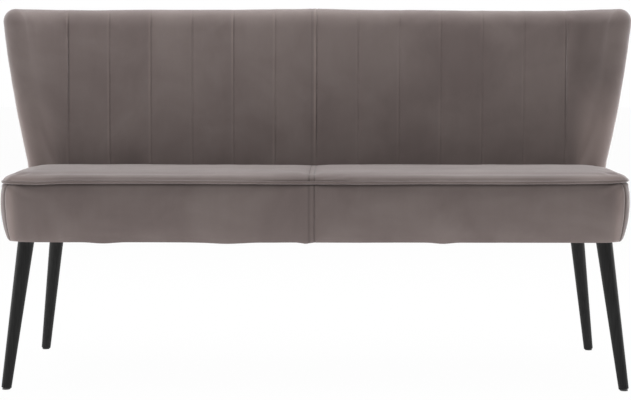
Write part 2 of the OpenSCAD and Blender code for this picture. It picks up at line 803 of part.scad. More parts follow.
// Fasteners
hex_sides = 6;
across_corners = across_flats / cos(180 / hex_sides);
nut_low = underside_h + pocket_d - nut_h;
washer_low = seat_line - pocket_d;
module back_bolts() {
    color(steel) at_back_bolts(0) {
        translate([0, 0, nut_low])
            cylinder(h = washer_low + washer_t - nut_low, r = bolt_r, $fn = round_sides);
        translate([0, 0, washer_low + washer_t])
            cylinder(h = head_h, d = across_corners, $fn = hex_sides);
    }
}

module back_washers() {
    color(steel) at_back_bolts(washer_low) difference() {
        cylinder(h = washer_t, r = washer_r, $fn = round_sides);
        translate([0, 0, -overrun]) cylinder(h = washer_t + 2 * overrun, r = bolt_r, $fn = round_sides);
    }
}

module back_nuts() {
    color(steel) at_back_bolts(nut_low) difference() {
        cylinder(h = nut_h, d = across_corners, $fn = hex_sides);
        translate([0, 0, -overrun]) cylinder(h = nut_h + 2 * overrun, r = bolt_r, $fn = round_sides);
    }
}

module frame_screws() {
    color(steel) frame_screw_shanks(frame_screw_sink);
}

module hanger_bolts() {
    color(steel) at_all_legs() hanger_bolt($rear);
}

module plate_screws() {
    color(steel) {
        plate_screw_shanks();
        at_all_legs() at_plate_screws($rear)
            translate([0, 0, underside_h - plate_t - screw_head_h])
                cylinder(h = screw_head_h, r = screw_head_r, $fn = round_sides);
    }
}

seat_front_rail();
seat_rear_rail();
seat_side_rail(-1);  // seat_side_rail_left
seat_side_rail(1);  // seat_side_rail_right
seat_cross_rails();
leg_block(-1, 0);  // leg_block_front_left
leg_block(1, 0);  // leg_block_front_right
leg_block(-1, 1);  // leg_block_rear_left
leg_block(1, 1);  // leg_block_rear_right
seat_springs();
spring_clips();
insulator_felt();
seat_foam();
seat_cover(-1);  // seat_cover_left
seat_cover(1);  // seat_cover_right
border(-1, front_outline);  // border_front_left
border(1, front_outline);  // border_front_right
border(-1, side_outline);  // border_side_left
border(1, side_outline);  // border_side_right
border(1, rear_outline);  // border_rear
seat_piping();
dust_cover();
back_plinth();
back_lower_rail();
back_top_rail();
back_posts();
wing_shell(-1);  // wing_shell_left
wing_shell(1);  // wing_shell_right
back_webbing();
back_foam();
edge_roll(-1);  // edge_roll_left
edge_roll(1);  // edge_roll_right
back_cover(-1);  // back_cover_left
back_cover(1);  // back_cover_right
back_liner();
outer_cover(-1);  // outer_cover_left
outer_cover(1);  // outer_cover_right
back_bolts();
back_washers();
back_nuts();
frame_screws();
leg(-1, 0);  // leg_front_left
leg(1, 0);  // leg_front_right
leg(-1, 1);  // leg_rear_left
leg(1, 1);  // leg_rear_right
leg_plate(-1, 0);  // leg_plate_front_left
leg_plate(1, 0);  // leg_plate_front_right
leg_plate(-1, 1);  // leg_plate_rear_left
leg_plate(1, 1);  // leg_plate_rear_right
hanger_bolts();
plate_screws();
glide(-1, 0);  // glide_front_left
glide(1, 0);  // glide_front_right
glide(-1, 1);  // glide_rear_left
glide(1, 1);  // glide_rear_right
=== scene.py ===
import math
from functools import partial

import bpy
import numpy as np
from bpy.props import FloatProperty, FloatVectorProperty, IntProperty, PointerProperty
from bpy.types import Node, NodeSocket, Operator, Panel, PropertyGroup
from mathutils import Matrix, Vector, noise


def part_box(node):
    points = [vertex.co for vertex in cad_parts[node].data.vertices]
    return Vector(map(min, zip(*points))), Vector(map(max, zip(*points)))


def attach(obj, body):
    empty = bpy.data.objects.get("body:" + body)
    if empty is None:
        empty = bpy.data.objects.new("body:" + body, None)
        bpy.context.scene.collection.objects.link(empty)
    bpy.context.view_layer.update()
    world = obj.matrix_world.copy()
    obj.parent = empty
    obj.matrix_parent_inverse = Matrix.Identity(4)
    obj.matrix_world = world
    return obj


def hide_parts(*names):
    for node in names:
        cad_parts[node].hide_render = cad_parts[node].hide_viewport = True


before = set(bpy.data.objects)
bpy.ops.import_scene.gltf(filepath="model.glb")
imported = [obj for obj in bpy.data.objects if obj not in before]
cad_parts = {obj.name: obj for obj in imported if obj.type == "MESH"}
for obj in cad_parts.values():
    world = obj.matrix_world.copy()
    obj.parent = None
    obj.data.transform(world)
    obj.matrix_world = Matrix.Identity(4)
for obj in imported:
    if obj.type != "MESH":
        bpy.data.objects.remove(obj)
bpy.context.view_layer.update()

bl_info = {
    "name": "Dining sofa",
    "version": (1, 0, 0),
    "blender": (4, 5, 0),
    "location": "3D View > Sidebar > Sofa",
    "description": "Dresses the sofa's frame in velvet, lacquered legs and a dust cover",
    "category": "Object",
}

LEFT, RIGHT = -1, 1
HALVES = ((LEFT, "left"), (RIGHT, "right"))
WHITE = (1, 1, 1, 1)

# Places that the frame fixes
FRAME_LOW, FRAME_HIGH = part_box("seat_front_rail")
FRAME_FRONT = FRAME_LOW.y
FRAME_HALF = FRAME_HIGH.x
UNDERSIDE = FRAME_LOW.z
FRAME_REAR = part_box("seat_rear_rail")[1].y
SEAT_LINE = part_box("back_plinth")[1].z
FELT_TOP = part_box("insulator_felt")[1].z
LINER_DEPTH = 0.063

# Sewing: depth and width of a pressed seam and of the topstitching, and how wide the painted shade in them
# shows
SEAM_SIZE = (0.0016, 0.0018)
STITCH_SIZE = (0.0008, 0.0014)
CRUSHED_WIDTH = 0.0012
# A pressed seam's lips: their height as a share of its depth, and their place in widths from its middle
LIP_HEIGHT, LIP_PLACE = 0.25, 2.7
# Unevenness of the padding, as (height, waves in a metre), and how far a seam holds it flat
PADDING_WAVES = (0.0011, 9.0)
PADDING_LUMPS = (0.0005, 24.0)
HELD_FLAT = 0.02
# The column of points that the topstitching follows, how close to it a point is sewn, and a distance that
# no seam reaches
STITCH_COLUMN = 6
ON_STITCHES = 0.0004
FAR = 1.0
STITCH_LINES = {}

# Small unevenness of the upholstery, as (place along X, rise): the lines of the crest, the piping and the hem
CREST_LINE = (
    (-0.80, 0.001), (-0.72, 0.0008), (-0.58, -0.0006), (-0.48, 0.0009), (-0.22, 0.0002), (-0.10, 0.002),
    (0.0, 0.0034), (0.10, 0.0002), (0.30, -0.0008), (0.42, -0.0022), (0.52, -0.0028), (0.64, -0.0022),
    (0.73, 0.0006), (0.80, 0.0004),
)
PIPING_LINE = (
    (-0.71, -0.0002), (-0.66, -0.0011), (-0.62, -0.0020), (-0.57, 0.0005), (-0.44, 0.0010), (-0.26, 0.0010),
    (-0.10, -0.0004), (0.10, -0.0007), (0.28, 0.0003), (0.46, 0.0001), (0.60, 0.0009), (0.66, 0.0022),
    (0.71, 0.0046),
)
REAR_CLIMB = 0.0022
HEM_DROPS = ((-0.477, 0.030), (-0.195, 0.045), (-0.02, 0.012), (0.29, 0.022))
HEM_DROP, HEM_LIFT = 0.0028, 0.0022

# Sag of the dust cover, and how far inside its edge it is reached
SAG, SAG_REACH = 0.0035, 0.05


# Sizes and finishes

Length = partial(FloatProperty, unit="LENGTH")
Angle = partial(FloatProperty, subtype="ANGLE")
Power = partial(FloatProperty, unit="POWER")
Colour = partial(FloatVectorProperty, subtype="COLOR")


class SofaBackSizes(PropertyGroup):
    """Sizes of the channelled back and its wings"""

    seat_depth: Length(name="Seat depth", description="From the front rail to the back's face", default=0.465)
    rake: Angle(name="Rake", description="Lean of the back from upright", default=math.radians(14.5))
    rise: Length(name="Rise", description="From the seat line to the foot of the crest", default=0.36)
    thickness: Length(name="Thickness", description="Thickness of the back, measured level", default=0.07)
    crest: Length(name="Crest", description="Height of the rolled crest", default=0.037)
    channels: IntProperty(name="Channels", description="Sewn channels on each half", default=6, min=2)
    crown: Length(name="Channel crown", description="Swell of a channel above its seams", default=0.0045)
    spread: Length(name="Spread", description="Extra half width of the field at the crest", default=0.0125)
    cover: Length(name="Cover", description="Thickness of the padded cover", default=0.012)
    overhang: Length(name="Overhang", description="Reach of a wing past the seat frame", default=0.041)
    turn: Angle(name="Turn", description="How far a wing turns forward", default=math.radians(50))
    low_radius: Length(name="Low radius", description="Turning radius at the seat line", default=0.0545)
    high_radius: Length(name="High radius", description="Turning radius at the crest", default=0.13)
    bow: Length(name="Bow", description="Outward bow of the wings at mid height", default=0.006)


class SofaSeatSizes(PropertyGroup):
    """Sizes of the seat's covers, border and piping"""

    corner: Length(name="Corner", description="Corner radius of the seat frame", default=0.02)
    border_low: Length(name="Border below", description="Thickness of the border at its foot", default=0.002)
    border_top: Length(name="Border above", description="Thickness of the border at its top", default=0.013)
    border_bulge: Length(name="Bulge", description="Swell of the border at mid height", default=0.0085)
    flank: Length(name="Flank bulge", description="Extra swell of the border at the ends", default=0.0045)
    border_drop: Length(name="Border drop", description="Reach of the border below the rails", default=0.004)
    edge: Length(name="Edge", description="Thickness of the seat cover at its edge", default=0.0006)
    dip: Length(name="Dip", description="Fall of the seat cover's edge on to the piping", default=0.0020)
    crown: Length(name="Crown", description="Rise of the seat above its edge before padding", default=0.0118)
    roll: Length(name="Roll", description="Width over which the crown rounds off", default=0.021)
    rear_fall: Length(name="Rear fall", description="Fall of the crown towards the back", default=0.0118)
    piping: Length(name="Piping", description="Radius of the piping", default=0.0035)
    piping_drop: Length(name="Piping drop", description="Piping's middle below the seat line", default=0.0051)
    topstitch: Length(name="Topstitch", description="From the middle seam to the stitches", default=0.0115)


class SofaFinishes(PropertyGroup):
    """Colours of the sofa's finishes"""

    velvet: Colour(name="Velvet", description="Velvet seen square on", default=(0.105, 0.083, 0.079))
    velvet_nap: Colour(name="Nap", description="Velvet brushed the other way", default=(0.135, 0.110, 0.104))
    lacquer: Colour(name="Lacquer", description="Black lacquer of the legs", default=(0.010, 0.010, 0.010))
    timber: Colour(name="Timber", description="Pale softwood of the frame", default=(0.50, 0.31, 0.16))
    timber_grain: Colour(name="Grain", description="Darker grain of the softwood", default=(0.33, 0.18, 0.08))
    dust: Colour(name="Dust cover", description="Black dust cover cloth", default=(0.012, 0.012, 0.013))


class SofaStage(PropertyGroup):
    """Camera, floor and light"""

    camera_distance: Length(name="Distance", description="Camera in front of the sofa's middle", default=3.85)
    camera_side: Length(name="Side", description="Camera to the right of the sofa's middle", default=0.042)
    camera_height: Length(name="Height", description="Camera above the floor", default=0.757)
    camera_pan: Angle(name="Pan", description="Camera turned to the left", default=math.radians(0.636))
    camera_tilt: Angle(name="Tilt", description="Camera tilt below level", default=math.radians(5.17))
    lens: FloatProperty(name="Lens", description="Focal length in millimetres", default=90.3)
    key_power: Power(name="Overhead light", description="Power of each overhead panel", default=53.0)
    front_power: Power(name="Front light", description="Power of the front panels", default=7.0)
    rim_power: Power(name="Rim light", description="Power of the panels behind the ends", default=15.0)
    side_power: Power(name="Side light", description="Power of the low side panels", default=5.0)
    floor_glow: FloatProperty(name="Floor light", description="Soft light sent up by the floor", default=1.25)
    world: FloatProperty(name="Room light", description="Strength of the plain room light", default=0.06)


# Small sums


def clamp(values):
    """Values held between 0 and 1."""
    return np.clip(values, 0, 1)


def bell(distance, reach):
    """1 on a line, fading away smoothly on both sides of it."""
    return np.exp(-((distance / reach) ** 2))


def run_along(line):
    """Length of the way to each point of a line."""
    return np.concatenate([[0], np.cumsum(np.linalg.norm(np.diff(line, axis=0), axis=1))])


def unevenness(points, scale, seed):
    """Smooth, fixed unevenness between about -1 and 1 for each point."""
    shift = Vector((seed * 7.31, seed * 3.17, seed * 5.71))
    return np.array([noise.noise(Vector(p) * scale + shift) for p in points])


def seam_spacing(length, step, ends=2):
    """Places along a panel from 0 to length, closer together beside its sewn seams."""
    near = np.array([0, 0.001, 0.0022, 0.0038, 0.006, 0.0086, 0.0115, 0.016, 0.022])
    far = length - near[::-1] if ends == 2 else np.array([length])
    count = max(2, round((far[0] - near[-1]) / step))
    return np.concatenate([near, np.linspace(near[-1], far[0], count + 1)[1:-1], far])


def grid_places(cols, rows):
    """Column and row of each point of a grid, and whether it lies on the grid's edge."""
    row, col = np.divmod(np.arange(cols * rows), cols)
    return col, row, (col == 0) | (col == cols - 1) | (row == 0) | (row == rows - 1)


def grid_faces(cols, rows):
    """Faces of a grid whose columns run to the right and whose rows run upwards, seen from outside."""
    return [
        (j * cols + i, j * cols + i + 1, (j + 1) * cols + i + 1, (j + 1) * cols + i)
        for j in range(rows - 1)
        for i in range(cols - 1)
    ]


def sway(points, side=RIGHT):
    """Slight rise and fall of the piping's line round the seat, which climbs to the back at the rear."""
    to_rear = clamp((points[..., 1] - FRAME_FRONT) / (FRAME_REAR - FRAME_FRONT))
    return np.interp(side * points[..., 0], *zip(*PIPING_LINE)) * (1 - to_rear) + REAR_CLIMB * to_rear**4


# Outlines of the back, worked out as the solid part does


def back_axes(angle):
    """Level directions at a station of the back: straight backwards through it, and outwards along it."""
    zero = np.zeros_like(angle)
    backwards = np.stack([np.sin(angle), np.cos(angle), zero], -1)
    outwards = np.stack([np.cos(angle), -np.sin(angle), zero], -1)
    return backwards, outwards


def field_half(back):
    lean = math.sin(back.turn)
    return FRAME_HALF + back.overhang - back.low_radius * lean - back.thickness / 2 * (1 + lean)


def back_point(back, share, angle, z, depth):
    """Points of the back at shares of its flat field, angles round its wing, heights and depths."""
    share, angle, z, depth = np.broadcast_arrays(*[np.asarray(v, float) for v in (share, angle, z, depth)])
    rise = (z - SEAT_LINE) / back.rise
    bow = back.bow * 4 * rise * (1 - rise) * (rise > 0)
    radius = back.low_radius + (back.high_radius - back.low_radius) * rise + bow
    backwards, _ = back_axes(angle)
    x = share * (field_half(back) + back.spread * rise) + radius * np.sin(angle)
    y = FRAME_FRONT + back.seat_depth + (z - SEAT_LINE) * math.tan(back.rake) - radius * (1 - np.cos(angle))
    return np.stack([x, y, z], -1) + depth[..., None] * backwards


def stations(field, wing):
    """Shares of the flat field and angles round the wing, for columns over both."""
    return np.concatenate([field, np.ones(len(wing))]), np.concatenate([np.zeros(len(field)), wing])


def plain_stations(back, step):
    """The same for a cover without channels."""
    width = field_half(back)
    return stations(seam_spacing(width, step, ends=1) / width, np.linspace(0, back.turn, 13)[1:])


# Sheets and pieces


def new_sheet(name, points, faces, side):
    """An open sheet as an object; on the left side the right one is mirrored."""
    points = np.array(points, float).reshape(-1, 3)
    if side == LEFT:
        points[:, 0] *= -1
        faces = [tuple(reversed(f)) for f in faces]
    mesh = bpy.data.meshes.new(name)
    mesh.from_pydata(points.tolist(), [], faces)
    mesh.update()
    sheet = bpy.data.objects.new(name, mesh)
    bpy.context.scene.collection.objects.link(sheet)
    return sheet


def read_points(obj):
    points = np.zeros(len(obj.data.vertices) * 3)
    obj.data.vertices.foreach_get("co", points)
    return points.reshape(-1, 3)


def write_points(obj, points):
    obj.data.vertices.foreach_set("co", np.ascontiguousarray(points).ravel())
    obj.data.update()


def read_normals(obj):
    normals = np.zeros(len(obj.data.vertices) * 3)
    obj.data.vertex_normals.foreach_get("vector", normals)
    return normals.reshape(-1, 3)


def select_none():
    bpy.ops.object.select_all(action="DESELECT")


def make_active(obj):
    select_none()
    obj.select_set(True)
    bpy.context.view_layer.objects.active = obj


def place_piece(name):
    """Names the piece that was just added, and moves its place into its mesh."""
    bpy.context.object.name = name
    bpy.ops.object.transform_apply(location=True, rotation=True, scale=True)
    return bpy.context.object


def edit(action="SELECT"):
    """Opens the active piece for editing, with all or nothing of it selected."""
    bpy.ops.object.mode_set(mode="EDIT")
    bpy.ops.mesh.select_all(action=action)


def end_edit():
    bpy.ops.object.mode_set(mode="OBJECT")


def blow_up(sheet, sewn, cap, pressure=4.0, frames=20):
    """Pads a sheet out between its sewn points by a cloth simulation, no point further than cap."""
    rest = read_points(sheet)
    group = sheet.vertex_groups.new(name="sewn")
    group.add([int(i) for i in np.flatnonzero(sewn)], 1.0, "REPLACE")
    cloth = sheet.modifiers.new("Padding", "CLOTH")
    settings = cloth.settings
    settings.quality = 5
    settings.mass = 0.3
    settings.tension_stiffness = 15
    settings.compression_stiffness = 15
    settings.shear_stiffness = 5
    settings.bending_stiffness = 0.5
    settings.use_pressure = True
    settings.uniform_pressure_force = pressure
    settings.vertex_group_mass = group.name
    settings.effector_weights.gravity = 0
    cloth.collision_settings.use_collision = False
    cloth.point_cache.frame_start = 1
    cloth.point_cache.frame_end = frames
    for step in range(1, frames + 1):
        bpy.context.scene.frame_set(step)
    make_active(sheet)
    bpy.ops.object.modifier_apply(modifier=cloth.name)
    bpy.context.scene.frame_set(1)
    sheet.vertex_groups.clear()
    moved = read_points(sheet) - rest
    length = np.linalg.norm(moved, axis=1, keepdims=True)
    share = np.where(length > 0, cap * np.tanh(length / cap) / np.maximum(length, 1e-9), 0)
    write_points(sheet, rest + moved * share)


def press_seam(sheet, distance, depth, width, strength=1.0):
    """Draws a sewn seam into a sheet: a narrow groove between two low lips, tighter in some places."""
    points = read_points(sheet)
    lips = LIP_HEIGHT * bell(distance - LIP_PLACE * width, width)
    tight = 0.85 + 0.45 * unevenness(points, 11.0, 51)
    pull = depth * strength * tight * (bell(distance, width) - lips)
    write_points(sheet, points - read_normals(sheet) * pull[:, None])


def pucker(sheet, distance, depth, reach, seed):
    """Small gathers that run out of a sewn seam, and a soft unevenness of the padding."""
    points = read_points(sheet)
    gathers = unevenness(points * np.array([14.0, 14.0, 60.0]), 1.0, seed)
    folds = depth * gathers * np.exp(-distance / reach)
    waves, lumps = (
        height * unevenness(points, scale, seed + shift)
        for (height, scale), shift in ((PADDING_WAVES, 2), (PADDING_LUMPS, 4))
    )
    padding = waves + lumps
    calm = 1 - np.exp(-np.minimum(distance, 10 * HELD_FLAT) / HELD_FLAT)
    write_points(sheet, points + read_normals(sheet) * (folds + padding * calm)[:, None])


def sew(sheet, seam, topstitch, seam_size, gathers, seed, strength=1.0):
    """Presses a sheet's seams and topstitching in, with the gathers that run out of them."""
    press_seam(sheet, seam, *seam_size, strength)
    press_seam(sheet, topstitch, *STITCH_SIZE)
    pucker(sheet, np.minimum(seam, topstitch), *gathers, seed)


def keep_stitch_line(name, sheet, index):
    """Keeps the points and outward normals of a sheet along a row of its points, for the topstitching."""
    STITCH_LINES[name] = read_points(sheet)[index], read_normals(sheet)[index]


def mark_pile(sheet, crushed, brushed=None):
    """Keeps painted shade and painted highlight for each point, for the velvet to darken and lighten its
    colour by.
    """
    brushed = np.zeros_like(crushed) if brushed is None else brushed
    for name, amount in (("crushed", crushed), ("brushed", brushed)):
        layer = sheet.data.attributes.new(name, "FLOAT", "POINT")
        layer.data.foreach_set("value", clamp(amount).astype(np.float32))


def close_form(sheet, inner, side):
    """Closes a sheet into a padded form with an inner sheet of as many points."""
    outer = read_points(sheet)
    inner = np.array(inner, float).reshape(-1, 3)
    if side == LEFT:
        inner[:, 0] *= -1
    faces = [tuple(p.vertices) for p in sheet.data.polygons]
    edges = {(a, b) for f in faces for a, b in zip(f, f[1:] + f[:1])}
    count = len(outer)
    walls = [(b, a, a + count, b + count) for a, b in sorted(edges) if (b, a) not in edges]
    lining = [tuple(i + count for i in reversed(f)) for f in faces]
    mesh = bpy.data.meshes.new(sheet.name)
    mesh.from_pydata(np.vstack([outer, inner]).tolist(), [], faces + lining + walls)
    old = sheet.data
    # The painted shade and painted highlight go over to the closed form
    for layer in [a for a in old.attributes if a.name in ("crushed", "brushed")]:
        values = np.zeros(count)
        layer.data.foreach_get("value", values)
        made = mesh.attributes.new(layer.name, "FLOAT", "POINT")
        made.data.foreach_set("value", np.concatenate([values, values]).astype(np.float32))
    sheet.data = mesh
    bpy.data.meshes.remove(old)
    make_active(sheet)
    bpy.ops.object.shade_smooth_by_angle(angle=math.radians(55))


def lay_copies(piece, places):
    """Lays copies of a piece, each at a point with the directions of its length and its top, as one piece."""
    copies = []
    for point, along, up in places:
        up = (up - along * np.dot(up, along)) / np.linalg.norm(up - along * np.dot(up, along))
        turn = Matrix((along, np.cross(up, along), up)).transposed().to_4x4()
        copy = piece.copy()
        copy.data = piece.data.copy()
        bpy.context.scene.collection.objects.link(copy)
        copy.matrix_world = Matrix.Translation(Vector(point)) @ turn
        copies.append(copy)
    select_none()
    for copy in copies:
        copy.select_set(True)
    bpy.context.view_layer.objects.active = copies[0]
    bpy.ops.object.transform_apply(location=True, rotation=True, scale=True)
    bpy.ops.object.join()
    joined = bpy.context.object
    joined.name = piece.name + "_row"
    old = piece.data
    bpy.data.objects.remove(piece)
    bpy.data.meshes.remove(old)
    return joined


def coat(obj, finish):
    """Gives a piece or a solid its material."""
    if finish not in FINISHES:
        raise RuntimeError("the finish " + finish + " isn't made yet: run the finishes first")
    obj.data.materials.clear()
    obj.data.materials.append(FINISHES[finish])


def dress(obj, finish, slot, *nodes, fill=None):
    """Gives a finished piece its material and its body, and hides the solids that it stands for."""
    coat(obj, finish)
    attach(obj, "root")
    if nodes:
        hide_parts(*nodes)


def finish_pad(sheet, inner, side, node, fill):
    """Closes a padded sheet, and dresses it in velvet."""
    close_form(sheet, inner, side)
    dress(sheet, "velvet", "velvet", node, fill=fill)


# Materials

FINISHES = {}


def feed(node, sockets):
    """Gives a node's sockets their values, or links from other nodes and sockets."""
    for name, value in sockets.items():
        if isinstance(value, Node):
            value = value.outputs[0]
        if isinstance(value, NodeSocket):
            node.id_data.links.new(value, node.inputs[name])
        else:
            node.inputs[name].default_value = value
    return node


def add_node(tree, kind, sockets=None, **settings):
    made = tree.nodes.new("ShaderNode" + kind)
    for name, value in settings.items():
        setattr(made, name, value)
    return feed(made, sockets or {})


def new_material(name, colour, roughness):
    """A node material with its shader, and texture coordinates fixed to the object."""
    made = bpy.data.materials.new(name)
    made.use_nodes = True
    tree = made.node_tree
    shader = feed(tree.nodes["Principled BSDF"], {"Base Color": (*colour, 1), "Roughness": roughness})
    return made, tree, shader, add_node(tree, "TexCoord").outputs["Object"]


def add_noise(tree, place, scale, detail=4.0, stretch=None, distortion=0.0):
    if stretch:
        place = add_node(tree, "Mapping", {"Vector": place, "Scale": stretch}).outputs["Vector"]
    sockets = {"Vector": place, "Scale": scale, "Detail": detail, "Roughness": 0.55, "Distortion": distortion}
    return add_node(tree, "TexNoise", sockets).outputs["Fac"]


def add_ramp(tree, factor, low, high):
    """Spreads the part of a factor between low and high over 0 to 1."""
    return add_node(tree, "MapRange", {"Value": factor, "From Min": low, "From Max": high}).outputs["Result"]


def add_mix(tree, factor, first, second, blend="MIX"):
    """Blends two colours, each a socket or three numbers."""
    first, second = (c if isinstance(c, NodeSocket) else (*c, 1) for c in (first, second))
    sockets = {0: factor, 6: first, 7: second}
    return add_node(tree, "Mix", sockets, data_type="RGBA", blend_type=blend).outputs[2]


def add_bump(tree, shader, height, strength, distance):
    """Lays a bump over those that the shader has."""
    made = add_node(tree, "Bump", {"Height": height, "Strength": strength, "Distance": distance})
    before = shader.inputs["Normal"]
    if before.links:
        feed(made, {"Normal": before.links[0].from_socket})
    feed(shader, {"Normal": made})


def velvet_finish(finishes):
    """Short, brushed velvet: a fine pile, soft patches where it lies another way, a bright sheen, and painted
    shade and highlight.
    """
    made, tree, shader, place = new_material("taupe_velvet", finishes.velvet, 0.85)
    patches = add_ramp(tree, add_noise(tree, place, 6.0, 3.0, distortion=0.6), 0.35, 0.65)
    strokes = add_ramp(tree, add_noise(tree, place, 1.0, 3.0, stretch=(38.0, 38.0, 7.0)), 0.3, 0.7)
    speckle = add_ramp(tree, add_noise(tree, place, 1500.0, 2.0), 0.3, 0.7)
    # The painted shade darkens the colour and the painted highlight lightens it; the speckle is the pile's
    # own tone
    tints = [
        add_mix(tree, add_node(tree, "Attribute", attribute_name=name).outputs["Fac"], (1, 1, 1), tint)
        for name, tint in (("crushed", (0.5, 0.48, 0.47)), ("brushed", (1.5, 1.49, 1.47)))
    ]
    tints.append(add_mix(tree, speckle, (0.9, 0.9, 0.9), (1.08, 1.08, 1.08)))
    colour = add_mix(tree, add_mix(tree, 0.22, patches, strokes), finishes.velvet, finishes.velvet_nap)
    for tint in tints:
        colour = add_mix(tree, 1.0, colour, tint, "MULTIPLY")
    feed(shader, {
        "Base Color": colour,
        "Sheen Weight": 0.75,
        "Sheen Roughness": 0.4,
        "Sheen Tint": (0.71, 0.69, 0.70, 1),
        "Specular IOR Level": 0.15,
    })
    add_bump(tree, shader, add_noise(tree, place, 900.0, 3.0), 0.35, 0.0004)
    add_bump(tree, shader, strokes, 0.05, 0.002)
    return made


def lacquer_finish(finishes):
    """Black lacquer over turned wood, with the grain just showing."""
    made, tree, shader, place = new_material("black_lacquer", finishes.lacquer, 0.5)
    grain = add_noise(tree, place, 1.0, 5.0, stretch=(320.0, 320.0, 14.0))
    lighter = [c * 1.6 for c in finishes.lacquer]
    colour = add_mix(tree, add_ramp(tree, grain, 0.35, 0.7), finishes.lacquer, lighter)
    feed(shader, {"Base Color": colour, "Specular IOR Level": 0.07})
    add_bump(tree, shader, grain, 0.12, 0.0005)
    return made


def timber_finish(finishes):
    """Planed softwood with darker grain along each board."""
    made, tree, shader, place = new_material("frame_timber", finishes.timber, 0.6)
    grain = add_noise(tree, place, 1.0, 6.0, stretch=(6.0, 60.0, 60.0), distortion=1.2)
    colour = add_mix(tree, add_ramp(tree, grain, 0.4, 0.62), finishes.timber, finishes.timber_grain)
    feed(shader, {"Base Color": colour})
    add_bump(tree, shader, grain, 0.2, 0.0006)
    return made


def steel_finish():
    """Zinc-plated steel with faint spangle and scuffs."""
    made, tree, shader, place = new_material("zinc_steel", (0.52, 0.53, 0.54), 0.34)
    spangle = add_noise(tree, place, 260.0, 3.0)
    colour = add_mix(tree, spangle, (0.44, 0.45, 0.46), (0.62, 0.62, 0.61))
    scuffs = add_ramp(tree, add_noise(tree, place, 70.0), -0.6, 2.2)
    feed(shader, {"Base Color": colour, "Metallic": 1.0, "Roughness": scuffs})
    add_bump(tree, shader, spangle, 0.1, 0.0003)
    return made


def porous_finish(name, light, dark, scale, roughness=0.9, depth=0.001):
    """Foam, felt or board: a mottled colour with fine pores or fibres."""
    made, tree, shader, place = new_material(name, light, roughness)
    pores = add_noise(tree, place, scale, 4.0)
    feed(shader, {"Base Color": add_mix(tree, add_ramp(tree, pores, 0.35, 0.65), dark, light)})
    add_bump(tree, shader, pores, 0.4, depth)
    return made


def woven_finish(name, colour, other, pitch):
    """A plain weave of two crossing sets of bands."""
    made, tree, shader, place = new_material(name, colour, 0.8)
    sockets = {"Vector": place, "Scale": 0.314 / pitch, "Distortion": 0.4}
    bands = [add_node(tree, "TexWave", sockets, bands_direction=axis).outputs["Fac"] for axis in ("X", "Z")]
    weave = add_mix(tree, 1.0, *bands, "MULTIPLY")
    feed(shader, {"Base Color": add_mix(tree, weave, other, colour)})
    add_bump(tree, shader, weave, 0.4, 0.0006)
    return made


# Operators


